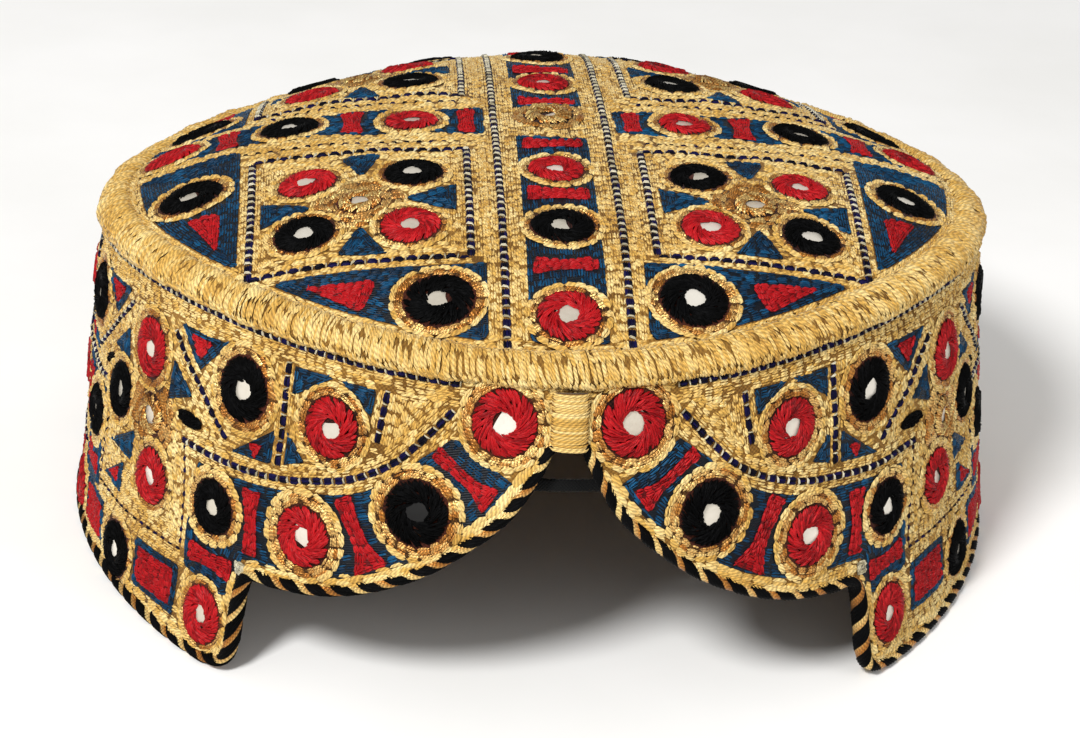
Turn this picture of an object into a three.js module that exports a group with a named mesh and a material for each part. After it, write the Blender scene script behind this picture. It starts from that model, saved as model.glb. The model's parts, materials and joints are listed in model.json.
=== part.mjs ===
// Balochi cap: a stiff embroidered cloth cap with a low domed crown, a padded rim roll
// and a side band whose front edge is cut into two lobes with an arch between them.
// Millimetres, +Z up, the arch faces -Y, and the band's lower edge stands on Z = 0.

import * as THREE from "three";

// Plan outline of the band at the ladder line under the rim roll
// Each row adds cos_mm * cos(order * angle) + sin_mm * sin(order * angle) to the mean radius.
const MEAN_RADIUS = 85.85;
const OUTLINE = [
  { order: 1, cos_mm: -0.08, sin_mm: -0.18 },
  { order: 2, cos_mm: -1.82, sin_mm: -0.41 },
  { order: 3, cos_mm: 1.32, sin_mm: -0.04 },
  { order: 4, cos_mm: 0.2, sin_mm: 0 },
];

// Height of the ladder line: the crown leans a little to the back
const LADDER_HEIGHT = 62.2;
const HEIGHT_WAVE = [
  { order: 1, cos_mm: 5.09, sin_mm: 1.64 },
  { order: 2, cos_mm: 0.41, sin_mm: -0.24 },
  { order: 3, cos_mm: -1.9, sin_mm: 0 },
  { order: 4, cos_mm: -0.11, sin_mm: 0 },
];

// The band widens towards its lower edge by this many millimetres per millimetre down
const FLARE = 0.167;
const FLARE_WAVE = [
  { order: 1, cos_mm: -0.013, sin_mm: 0 },
  { order: 2, cos_mm: 0.057, sin_mm: 0 },
];

// Cloth
const BAND_THICKNESS = 2.5;
const CROWN_THICKNESS = 2.0;
const GAP = 0.3;

// Crown
const CROWN_INSET = 4.28;
const CROWN_LIFT = 5.42;
const DOME_RISE = 14.8;
const DOME_POWER = 3.02;
const DOME_SHIFT = -0.52;
const CROWN_COLUMNS = 72;
const CROWN_RINGS = 8;
const CROWN_REACH = -6.2;

// Turned-down edge of the crown under the roll, measured from the ladder line
const CROWN_HEM = [
  { out_mm: -6.15, up_mm: 1.6 },
  { out_mm: -2.85, up_mm: 0 },
];

// Rim roll: an ellipse leaning inwards
const ROLL_HALF_WIDTH = 3.6;
const ROLL_HALF_THICKNESS = 2.3;
const ROLL_LEAN = THREE.MathUtils.degToRad(28);
const ROLL_OUT = -2.5;
const ROLL_UP = 3.4;
const ROLL_COLUMNS = 96;
const ROLL_SIDES = 12;

// Band
const BAND_TOP_RISE = 0.45;
const BAND_ROWS = 2;

// Wrapped edging along the lower edge
const CORD_HEIGHT = 3.0;
const CORD_WIDTH = 3.2;
const CORD_SIDES = 8;

// Finished lower edge from the middle of the front to the ear: arch, lobe, step, ear tip
const FRONT_EDGE = [
  { angle_deg: 0, height_mm: 56.6 },
  { angle_deg: 1.3, height_mm: 55.6 },
  { angle_deg: 2.3, height_mm: 52.3 },
  { angle_deg: 3.5, height_mm: 48.7 },
  { angle_deg: 5.6, height_mm: 43.5 },
  { angle_deg: 7.8, height_mm: 39.8 },
  { angle_deg: 11.0, height_mm: 35.5 },
  { angle_deg: 14.4, height_mm: 31.4 },
  { angle_deg: 17.9, height_mm: 28.2 },
  { angle_deg: 22.6, height_mm: 24.8 },
  { angle_deg: 27.8, height_mm: 22.3 },
  { angle_deg: 33.4, height_mm: 20.9 },
  { angle_deg: 36.6, height_mm: 20.3 },
  { angle_deg: 37.6, height_mm: 17.6 },
  { angle_deg: 38.0, height_mm: 11.0 },
  { angle_deg: 38.3, height_mm: 5.0 },
  { angle_deg: 39.6, height_mm: 1.4 },
  { angle_deg: 43.0, height_mm: 0 },
];
const EDGE_STEP = 2.2;
const BASE_STEP_DEG = 2.5;
const FAN_END_DEG = 60;

// Front tab over the bridge of cloth above the arch
const TAB = { half_width: 3.2, low: 56.5, high: 65.9, stand_off: 0.65, thickness: 1.5 };
const TAB_EDGE = 0.45;

// Tie across the arch, sewn behind the two lobes
const TIE = { half_width: 11, low: 46.9, high: 49.0, stand_off: -3.2, thickness: 1.0 };

const FULL_TURN = Math.PI * 2;
const DEG = Math.PI / 180;

function wave(rows, angle) {
  return rows.reduce(
    (sum, row) => sum + row.cos_mm * Math.cos(row.order * angle) + row.sin_mm * Math.sin(row.order * angle),
    0,
  );
}

function outlineRadius(angle) {
  return MEAN_RADIUS + wave(OUTLINE, angle);
}

function ladderHeight(angle) {
  return LADDER_HEIGHT + wave(HEIGHT_WAVE, angle);
}

// A point from its angle about the cap, measured from the front, its radius and its height.
function polar(angle, radius, height) {
  return new THREE.Vector3(radius * Math.sin(angle), -radius * Math.cos(angle), height);
}

// A point on the band's outer face, or standing off from it.
function onBand(angle, height, standOff = 0) {
  const flare = FLARE + wave(FLARE_WAVE, angle);
  const radius = outlineRadius(angle) + flare * (ladderHeight(angle) - height) + standOff;
  return polar(angle, radius, height);
}

// A closed solid from a grid of rings: points[i][j], closed round both i and j.
function ringSolid(points) {
  const rows = points.length;
  const sides = points[0].length;
  const position = new Float32Array(points.flat().flatMap((p) => [p.x, p.y, p.z]));
  const index = [];
  for (let i = 0; i < rows; i++) {
    for (let j = 0; j < sides; j++) {
      const a = i * sides + j;
      const b = i * sides + ((j + 1) % sides);
      const c = ((i + 1) % rows) * sides + j;
      const d = ((i + 1) % rows) * sides + ((j + 1) % sides);
      index.push(a, c, b, b, c, d);
    }
  }
  return indexed(position, index);
}

function indexed(position, index) {
  const geometry = new THREE.BufferGeometry();
  geometry.setAttribute("position", new THREE.BufferAttribute(position, 3));
  geometry.setIndex(index);
  geometry.computeVertexNormals();
  return geometry;
}

function turnOver(geometry) {
  const index = geometry.index.array;
  for (let i = 0; i < index.length; i += 3) {
    const first = index[i];
    index[i] = index[i + 1];
    index[i + 1] = first;
  }
  geometry.computeVertexNormals();
  return geometry;
}

// The finished lower edge of one side as evenly spaced points (s_mm, height), arch to ear.
function halfEdge() {
  const control = FRONT_EDGE.map(
    (row) => new THREE.Vector3(row.angle_deg * DEG * MEAN_RADIUS, row.height_mm, 0),
  );
  // The mirrored second row before the apex keeps the top of the arch round.
  control.unshift(new THREE.Vector3(-control[1].x, control[1].y, 0));
  const last = control[control.length - 1];
  control.push(new THREE.Vector3(last.x + EDGE_STEP * 2, 0, 0));
  const curve = new THREE.CatmullRomCurve3(control, false, "centripetal");
  const fine = curve.getPoints(control.length * 40).filter((p) => p.x >= 0 && p.x <= last.x);
  const points = [fine[0].setX(0)];
  let walked = 0;
  for (let i = 1; i < fine.length; i++) {
    walked += fine[i].distanceTo(fine[i - 1]);
    if (walked >= EDGE_STEP) {
      points.push(fine[i]);
      walked = 0;
    }
  }
  return points.map((p) => ({ angle: p.x / MEAN_RADIUS, height: Math.max(0, p.y) }));
}

// The whole lower edge once round the cap, from the back over the left side to the front.
function lowerEdge() {
  const half = halfEdge();
  const earAngle = half[half.length - 1].angle;
  const baseSteps = Math.round((Math.PI - earAngle) / (BASE_STEP_DEG * DEG));
  const base = Array.from({ length: baseSteps }, (_, i) => ({
    angle: earAngle + ((i + 1) * (Math.PI - earAngle)) / baseSteps,
    height: 0,
  }));
  const right = half.concat(base);
  const left = right
    .slice(1, -1)
    .reverse()
    .map((p) => ({ angle: -p.angle, height: p.height }));
  return left.concat(right);
}

// Unit normals of the lower edge that point into the cloth, in the unrolled band.
function clothNormals(edge) {
  const count = edge.length;
  return edge.map((_, i) => {
    const before = edge[(i + count - 1) % count];
    const after = edge[(i + 1) % count];
    const turn = Math.round((after.angle - before.angle) / FULL_TURN) * FULL_TURN;
    const along = (after.angle - before.angle - turn) * MEAN_RADIUS;
    const rise = after.height - before.height;
    const length = Math.hypot(along, rise);
    return { s: -rise / length, up: along / length };
  });
}

function insetEdge(edge, normals, distance) {
  return edge.map((p, i) => ({
    angle: p.angle + (normals[i].s * distance) / MEAN_RADIUS,
    height: p.height + normals[i].up * distance,
  }));
}

// Angle at the top of the band above each point of the lower edge: it spreads the steep
// runs of the edge out evenly, so that the band's facets never cross.
function topAngles(edge) {
  const walked = [0];
  const start = edge.findIndex((p) => p.angle === 0);
  const side = edge.slice(start).filter((p) => p.angle < FAN_END_DEG * DEG);
  for (let i = 1; i < side.length; i++) {
    const along = (side[i].angle - side[i - 1].angle) * MEAN_RADIUS;
    walked.push(walked[i - 1] + Math.hypot(along, side[i].height - side[i - 1].height));
  }
  const total = walked[walked.length - 1];
  const fanEnd = side[side.length - 1].angle;
  return edge.map((p, i) => {
    const steps = Math.abs(i - start);
    return steps < side.length ? (Math.sign(i - start) * fanEnd * walked[steps]) / total : p.angle;
  });
}

function sideBand(edge, normals) {
  const low = insetEdge(edge, normals, CORD_HEIGHT + GAP);
  const high = topAngles(edge);
  const rows = low.map((foot, i) => {
    const top = { angle: high[i], height: ladderHeight(high[i]) + BAND_TOP_RISE };
    const at = (share, standOff) =>
      onBand(
        THREE.MathUtils.lerp(foot.angle, top.angle, share),
        THREE.MathUtils.lerp(foot.height, top.height, share),
        standOff,
      );
    const outer = [];
    const inner = [];
    for (let row = 0; row <= BAND_ROWS; row++) {
      outer.push(at(row / BAND_ROWS, 0));
      inner.unshift(at(row / BAND_ROWS, -BAND_THICKNESS));
    }
    return outer.concat(inner);
  });
  return ringSolid(rows);
}

function edgeCord(edge, normals) {
  const middle = insetEdge(edge, normals, CORD_HEIGHT / 2);
  const flat = Math.cos(Math.PI / CORD_SIDES);
  const rows = middle.map((p, i) => {
    const ring = [];
    for (let side = 0; side < CORD_SIDES; side++) {
      const turn = ((side + 0.5) / CORD_SIDES) * FULL_TURN;
      const inPlane = ((Math.cos(turn) / flat) * CORD_HEIGHT) / 2;
      const outward = ((Math.sin(turn) / flat) * CORD_WIDTH) / 2;
      const angle = p.angle + (normals[i].s * inPlane) / MEAN_RADIUS;
      const height = p.height + normals[i].up * inPlane;
      ring.push(onBand(angle, Math.max(0, height), outward - BAND_THICKNESS / 2));
    }
    return ring;
  });
  return turnOver(ringSolid(rows));
}

function rimRoll() {
  const rows = [];
  for (let i = 0; i < ROLL_COLUMNS; i++) {
    const angle = (i / ROLL_COLUMNS) * FULL_TURN;
    const ring = [];
    for (let side = 0; side < ROLL_SIDES; side++) {
      const turn = (side / ROLL_SIDES) * FULL_TURN;
      const wide = ROLL_HALF_WIDTH * Math.cos(turn);
      const thick = ROLL_HALF_THICKNESS * Math.sin(turn);
      const out = ROLL_OUT - wide * Math.cos(ROLL_LEAN) + thick * Math.sin(ROLL_LEAN);
      const up = ROLL_UP + wide * Math.sin(ROLL_LEAN) + thick * Math.cos(ROLL_LEAN);
      ring.push(polar(angle, outlineRadius(angle) + out, ladderHeight(angle) + up));
    }
    rows.push(ring);
  }
  return turnOver(ringSolid(rows));
}

// The crown's upper face in one upright half-plane, from the middle to the hem.
function crownProfile(angle) {
  const edgeRadius = outlineRadius(angle) - CROWN_INSET;
  const sway = ladderHeight(angle) - LADDER_HEIGHT;
  const reach = (outlineRadius(angle) + CROWN_REACH) / edgeRadius;
  const profile = [];
  for (let ring = 0; ring <= CROWN_RINGS; ring++) {
    const share = (ring / CROWN_RINGS) * reach;
    const dome = DOME_RISE * (1 - share ** DOME_POWER);
    const height = LADDER_HEIGHT + CROWN_LIFT + dome + sway * share ** 2;
    profile.push(new THREE.Vector2(edgeRadius * share, height));
  }
  for (const row of CROWN_HEM) {
    profile.push(new THREE.Vector2(outlineRadius(angle) + row.out_mm, ladderHeight(angle) + row.up_mm));
  }
  return profile;
}

// The same profile moved down and inwards by the cloth's thickness, with mitred corners.
function underside(profile) {
  return profile.map((p, i) => {
    const before = i > 0 ? p.clone().sub(profile[i - 1]).normalize() : new THREE.Vector2(1, 0);
    const after = i < profile.length - 1 ? profile[i + 1].clone().sub(p).normalize() : before;
    const along = before.clone().add(after).normalize();
    const mitre = CROWN_THICKNESS / Math.max(0.5, along.dot(before));
    return new THREE.Vector2(Math.max(0, p.x + along.y * mitre), p.y - along.x * mitre);
  });
}

function crown() {
  const position = [];
  const index = [];
  const ringCount = CROWN_RINGS + CROWN_HEM.length;
  const push = (angle, point, share) => {
    const p = polar(angle, point.x, point.y);
    position.push(p.x, p.y + DOME_SHIFT * (1 - Math.min(1, share) ** 2), p.z);
  };
  const middle = crownProfile(0)[0];
  push(0, middle, 0);
  push(0, new THREE.Vector2(0, middle.y - CROWN_THICKNESS), 0);
  for (let i = 0; i < CROWN_COLUMNS; i++) {
    const angle = (i / CROWN_COLUMNS) * FULL_TURN;
    const top = crownProfile(angle);
    const under = underside(top);
    for (let ring = 1; ring <= ringCount; ring++) {
      push(angle, top[ring], ring / CROWN_RINGS);
    }
    for (let ring = 1; ring <= ringCount; ring++) {
      push(angle, under[ring], ring / CROWN_RINGS);
    }
  }
  const at = (column, layer, ring) => 2 + (column % CROWN_COLUMNS) * 2 * ringCount + layer * ringCount + ring - 1;
  for (let i = 0; i < CROWN_COLUMNS; i++) {
    index.push(0, at(i, 0, 1), at(i + 1, 0, 1));
    index.push(1, at(i + 1, 1, 1), at(i, 1, 1));
    for (let ring = 1; ring < ringCount; ring++) {
      index.push(at(i, 0, ring), at(i, 0, ring + 1), at(i + 1, 0, ring));
      index.push(at(i + 1, 0, ring), at(i, 0, ring + 1), at(i + 1, 0, ring + 1));
      index.push(at(i, 1, ring), at(i + 1, 1, ring), at(i, 1, ring + 1));
      index.push(at(i + 1, 1, ring), at(i + 1, 1, ring + 1), at(i, 1, ring + 1));
    }
    index.push(at(i, 0, ringCount), at(i, 1, ringCount), at(i + 1, 0, ringCount));
    index.push(at(i + 1, 0, ringCount), at(i, 1, ringCount), at(i + 1, 1, ringCount));
  }
  return indexed(new Float32Array(position), index);
}

// A bar that lies along the band: a row of equal sections, closed with a flat face at each end.
function barAlongBand(bar, section, columns) {
  const position = [];
  const index = [];
  const sides = section.length;
  for (let i = 0; i <= columns; i++) {
    const along = THREE.MathUtils.lerp(-bar.half_width, bar.half_width, i / columns);
    for (const corner of section) {
      const height = THREE.MathUtils.lerp(bar.low, bar.high, corner.up);
      const p = onBand(along / MEAN_RADIUS, height, bar.stand_off + corner.out * bar.thickness);
      position.push(p.x, p.y, p.z);
    }
  }
  for (let i = 0; i < columns; i++) {
    for (let side = 0; side < sides; side++) {
      const a = i * sides + side;
      const b = i * sides + ((side + 1) % sides);
      index.push(a, a + sides, b, b, a + sides, b + sides);
    }
  }
  for (let side = 1; side < sides - 1; side++) {
    const last = columns * sides;
    index.push(0, side, side + 1);
    index.push(last, last + side + 1, last + side);
  }
  return indexed(new Float32Array(position), index);
}

function frontTab() {
  const section = [
    { up: 0, out: 0 },
    { up: 0, out: TAB_EDGE },
    { up: 0.12, out: 0.85 },
    { up: 0.3, out: 1 },
    { up: 0.7, out: 1 },
    { up: 0.88, out: 0.85 },
    { up: 1, out: TAB_EDGE },
    { up: 1, out: 0 },
  ];
  return barAlongBand(TAB, section, 6);
}

function notchTie() {
  const section = [
    { up: 0, out: 0 },
    { up: 0, out: -1 },
    { up: 1, out: -1 },
    { up: 1, out: 0 },
  ];
  return turnOver(barAlongBand(TIE, section, 8));
}

function cloth(name, geometry, colour, roughness) {
  const material = new THREE.MeshStandardMaterial({ color: colour, roughness, metalness: 0 });
  const mesh = new THREE.Mesh(geometry, material);
  mesh.name = name;
  return mesh;
}

const edge = lowerEdge();
const normals = clothNormals(edge);

const cap = new THREE.Group();
cap.name = "cap";
cap.add(cloth("crown", crown(), "#c9a552", 0.75));
cap.add(cloth("rim_roll", rimRoll(), "#dcb966", 0.7));
cap.add(cloth("side_band", sideBand(edge, normals), "#c9a552", 0.75));
cap.add(cloth("edge_cord", edgeCord(edge, normals), "#2a2418", 0.8));
cap.add(cloth("front_tab", frontTab(), "#d9b45b", 0.7));
cap.add(cloth("notch_tie", notchTie(), "#0b0a0a", 0.85));

// The part's origin is the middle of its lower face's bounding rectangle
const box = new THREE.Box3().setFromObject(cap);
const middle = box.getCenter(new THREE.Vector3());
cap.position.set(-middle.x, -middle.y, -box.min.z);

const part = new THREE.Group();
part.name = "balochi_cap";
part.add(cap);

export default part;
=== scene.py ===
"""Balochi cap: the looks of a stiff mirror-work cap, stitch by stitch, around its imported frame.

The cap's own numbers are millimetres in the frame's axes: +Z up, the arch faces -Y.
"""

import json
import logging
import math
from abc import ABC, abstractmethod
from dataclasses import dataclass, field, replace
from enum import Enum
from functools import cache
from typing import Any

import bpy
import numpy as np
from mathutils import Matrix, Vector
from mathutils.geometry import delaunay_2d_cdt
from mathutils.kdtree import KDTree

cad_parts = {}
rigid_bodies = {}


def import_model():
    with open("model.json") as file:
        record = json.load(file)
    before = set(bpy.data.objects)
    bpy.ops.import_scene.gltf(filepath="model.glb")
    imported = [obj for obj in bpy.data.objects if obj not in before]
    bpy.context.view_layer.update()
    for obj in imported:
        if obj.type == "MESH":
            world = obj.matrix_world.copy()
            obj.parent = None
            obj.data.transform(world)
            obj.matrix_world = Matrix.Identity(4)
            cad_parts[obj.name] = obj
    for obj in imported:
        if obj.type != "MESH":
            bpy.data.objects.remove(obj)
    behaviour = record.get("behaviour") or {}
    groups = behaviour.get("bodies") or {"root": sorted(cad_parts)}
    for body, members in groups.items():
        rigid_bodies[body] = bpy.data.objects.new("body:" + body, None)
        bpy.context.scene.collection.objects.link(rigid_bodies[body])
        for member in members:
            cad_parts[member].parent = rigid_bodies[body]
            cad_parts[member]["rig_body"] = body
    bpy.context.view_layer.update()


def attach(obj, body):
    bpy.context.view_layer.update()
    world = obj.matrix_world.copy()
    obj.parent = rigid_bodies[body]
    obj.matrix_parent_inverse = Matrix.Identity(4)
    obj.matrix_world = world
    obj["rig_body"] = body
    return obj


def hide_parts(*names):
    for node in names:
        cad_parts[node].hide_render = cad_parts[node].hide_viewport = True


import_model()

Array = np.ndarray
Point = tuple[float, float]
Random = np.random.Generator
Piece = bpy.types.Object
Material = bpy.types.Material
Tree = bpy.types.NodeTree
Inputs = dict[str | int, Any]
MM = 0.001
TURN = 2 * math.pi
BODY = "root"
# No thread comes nearer to the floor than this.
FLOOR_GAP = 0.02
LOG = logging.getLogger("balochi_cap")


# ---------------------------------------------------------------- the cap's shape


@dataclass(frozen=True)
class Wave:
    """A mean value with a few harmonics round the cap, in rows of order, cosine and sine."""

    mean: float
    terms: tuple[tuple[int, float, float], ...]

    def at(self, angle: Array) -> Array:
        """The value at an angle from the front.

        Args:
            angle: Angles from the front.

        Returns:
            The values.
        """
        total = np.full(np.shape(angle), self.mean, float)
        for order, cosine, sine in self.terms:
            total = total + cosine * np.cos(order * angle) + sine * np.sin(order * angle)
        return total


@dataclass(frozen=True)
class CapShape:
    """The driving sizes of the cap, the same as in the part's source."""

    outline: Wave = Wave(85.85, ((1, -0.08, -0.18), (2, -1.82, -0.41), (3, 1.32, -0.04), (4, 0.2, 0)))
    ladder: Wave = Wave(62.2, ((1, 5.09, 1.64), (2, 0.41, -0.24), (3, -1.9, 0), (4, -0.11, 0)))
    flare: Wave = Wave(0.167, ((1, -0.013, 0), (2, 0.057, 0)))
    centre: tuple[float, float, float] = (-0.0752, -3.4604, 0.0)
    crown_inset: float = 4.28
    crown_lift: float = 5.42
    dome_rise: float = 14.8
    dome_power: float = 3.02
    dome_shift: float = -0.52
    roll_half_width: float = 3.6
    roll_half_thickness: float = 2.3
    roll_lean: float = math.radians(28)
    roll_out: float = -2.5
    roll_up: float = 3.4

    def polar(self, angle: Array, radius: Array, height: Array) -> Array:
        """Points from their angle about the cap, radius and height.

        Args:
            angle: Angles from the front.
            radius: Distances from the axis.
            height: Heights.

        Returns:
            The points.
        """
        angle, radius, height = np.broadcast_arrays(angle, radius, height)
        own = np.stack([radius * np.sin(angle), -radius * np.cos(angle), height], -1)
        return own + np.array(self.centre)

    def band_point(self, angle: Array, height: Array, stand_off: Array = 0.0) -> Array:
        """Points on the band's outer face, or standing off from it.

        Args:
            angle: Angles from the front, in radians.
            height: Heights above the floor.
            stand_off: How far the points stand out from the face.

        Returns:
            The points, with a last axis of three.
        """
        drop = self.ladder.at(angle) - height
        return self.polar(angle, self.outline.at(angle) + self.flare.at(angle) * drop + stand_off, height)

    def roll_point(self, angle: Array, turn: Array, grow: float = 0.0) -> Array:
        """Points on the rim roll's ellipse, or standing off from it.

        Args:
            angle: Angles from the front, in radians.
            turn: Angles round the roll's own section.
            grow: How far the points stand out from the pad.

        Returns:
            The points, with a last axis of three.
        """
        wide = (self.roll_half_width + grow) * np.cos(turn)
        thick = (self.roll_half_thickness + grow) * np.sin(turn)
        out = self.roll_out - wide * math.cos(self.roll_lean) + thick * math.sin(self.roll_lean)
        up = self.roll_up + wide * math.sin(self.roll_lean) + thick * math.cos(self.roll_lean)
        return self.polar(angle, self.outline.at(angle) + out, self.ladder.at(angle) + up)


CAP = CapShape()


@dataclass(frozen=True)
class LowerEdge:
    """The finished lower edge, as (angle in degrees, height) from the middle of the front to the ear."""

    rows: tuple[Point, ...] = (
        (0, 56.6), (1.3, 55.6), (2.3, 52.3), (3.5, 48.7), (5.6, 43.5), (7.8, 39.8),
        (11.0, 35.5), (14.4, 31.4), (17.9, 28.2), (22.6, 24.8), (27.8, 22.3), (33.4, 20.9),
        (36.6, 20.3), (37.6, 17.6), (38.0, 11.0), (38.3, 5.0), (39.6, 1.4), (43.0, 0),
    )  # fmt: skip
    step: float = 0.8
    radius: float = CAP.outline.mean

    @cache
    def half(self) -> Array:
        """One side as evenly spaced points (run, height), from the arch to the middle of the back.

        Returns:
            The points.
        """
        control = np.array([(math.radians(a) * self.radius, h) for a, h in self.rows])
        control = np.vstack([control[1] * (-1, 1), control, control[-1] + (4.4, 0)])
        fine = catmull_rom(control, 24)
        fine = fine[(fine[:, 0] > 0) & (fine[:, 0] <= control[-2, 0])]
        base = np.array([(math.pi * self.radius, 0.0)])
        points = np.vstack([[(0.0, self.rows[0][1])], fine, base])
        return even_steps(np.maximum(points, 0), self.step)

    def whole(self) -> Array:
        """The whole edge once round, from the back over the left side to the front.

        Returns:
            The points (run, height).
        """
        right = self.half()
        left = (right[1:-1] * (-1, 1))[::-1]
        return np.vstack([left, right])

    def inward(self, edge: Array) -> Array:
        """Unit normals of the closed edge that point into the cloth.

        Args:
            edge: The edge's points.

        Returns:
            The normals.
        """
        closed = np.vstack([edge[-1] - (TURN * self.radius, 0), edge, edge[0] + (TURN * self.radius, 0)])
        along = unit(closed[2:] - closed[:-2])
        return np.stack([-along[:, 1], along[:, 0]], -1)

    def inset(self, distance: float) -> Array:
        """The closed edge moved into the cloth by a distance, as points (run, height)."""
        edge = self.whole()
        return edge + self.inward(edge) * distance

    def height_at(self, angle: Array) -> Array:
        """The finished edge's height straight below a point of the band.

        Args:
            angle: Angles from the front.

        Returns:
            The heights.
        """
        half = self.half()
        rising = np.maximum.accumulate(half[:, 0])
        wrapped = np.abs((angle + math.pi) % TURN - math.pi)
        return np.interp(wrapped * self.radius, rising, half[:, 1])


def catmull_rom(points: Array, steps: int) -> Array:
    """A smooth line through every point but the first and last.

    Args:
        points: The control points.
        steps: Points on each span.

    Returns:
        The line's points.
    """
    t = np.linspace(0, 1, steps, endpoint=False)[:, None]
    spans = []
    for a, b, c, d in zip(points, points[1:], points[2:], points[3:], strict=False):
        spans.append(0.5 * (2 * b + (c - a) * t + (2 * a - 5 * b + 4 * c - d) * t**2 + (3 * b - a - 3 * c + d) * t**3))
    return np.vstack([*spans, points[-2]])


def unit(vectors: Array) -> Array:
    """The same directions with a length of one."""
    return vectors / np.maximum(np.linalg.norm(vectors, axis=-1, keepdims=True), 1e-9)


def walk(line: Array) -> Array:
    """The distance walked along a line up to each of its points."""
    return np.concatenate([[0], np.cumsum(np.linalg.norm(np.diff(line, axis=0), axis=1))])


def read_at(at: Array, walked: Array, values: Array) -> Array:
    """Rows of values between those known at the walked distances."""
    return np.stack([np.interp(at, walked, values[:, axis]) for axis in range(values.shape[1])], -1)


def even_steps(points: Array, step: float) -> Array:
    """The same line with points about a step apart, its ends kept.

    Args:
        points: The line.
        step: The distance wanted between points.

    Returns:
        The new points.
    """
    walked = walk(points)
    count = max(2, round(walked[-1] / step) + 1)
    return read_at(np.linspace(0, walked[-1], count), walked, points)


EDGE = LowerEdge()


# ---------------------------------------------------------------- flat charts of the cloth


class Chart(ABC):
    """A flat plan of one cloth, in millimetres, and the way it lies on the cap."""

    slot: str
    probe = 0.2
    depth = -0.35
    facing = 1

    @abstractmethod
    def surface(self, flat: Array) -> Array:
        """Points of the cloth's outer face for points of the flat plan."""

    @abstractmethod
    def inside(self, flat: Array) -> Array:
        """Which points of the flat plan are on the cloth."""

    def own(self, flat: Array) -> Array:
        """Which points are on the one turn of the plan that is sewn."""
        return np.ones(flat.shape[:-1], bool)

    def normal(self, flat: Array) -> Array:
        """Unit normals out of the cloth.

        Args:
            flat: Places on the plan.

        Returns:
            The normals.
        """
        east = self.surface(flat + (self.probe, 0)) - self.surface(flat - (self.probe, 0))
        north = self.surface(flat + (0, self.probe)) - self.surface(flat - (0, self.probe))
        return unit(self.facing * np.cross(east, north))

    def place(self, flat: Array, lift: Array) -> tuple[Array, Array]:
        """Where the points of the plan lie on the cap.

        Args:
            flat: Points of the plan.
            lift: Heights above the cloth.

        Returns:
            The points in space and the cloth's normals there.
        """
        out = self.normal(flat)
        return self.surface(flat) + out * (np.asarray(lift)[..., None] + self.depth), out


class CrownChart(Chart):
    """The crown from above: x to the right, y to the back, the inner line of the roll a circle."""

    slot = "crown_cloth"
    radius = 81.72
    rim = 81.6

    def surface(self, flat: Array) -> Array:
        """Points of the crown's outer face.

        Args:
            flat: Places on the plan.

        Returns:
            The points.
        """
        x, y = flat[..., 0], flat[..., 1]
        share = np.hypot(x, y) / self.radius
        angle = np.arctan2(x, -y)
        stretch = 1 + ((CAP.outline.at(angle) - CAP.crown_inset) / self.radius - 1) * share
        sway = CAP.ladder.at(angle) - CAP.ladder.mean
        dome = CAP.dome_rise * (1 - share**CAP.dome_power)
        height = CAP.ladder.mean + CAP.crown_lift + dome + sway * share**2
        shift = CAP.dome_shift * (1 - share**2)
        quilted = 0.22 * np.sin(x / 3.1) * np.sin(y / 3.7) + 0.3 * np.sin(x / 11 + 1) * np.sin(y / 9 + 2)
        own = np.stack([x * stretch, y * stretch + shift, height + quilted * (1 - share**8)], -1)
        return own + np.array(CAP.centre)

    def inside(self, flat: Array) -> Array:
        """Which points are inside the roll."""
        return np.hypot(flat[..., 0], flat[..., 1]) < self.rim


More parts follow.
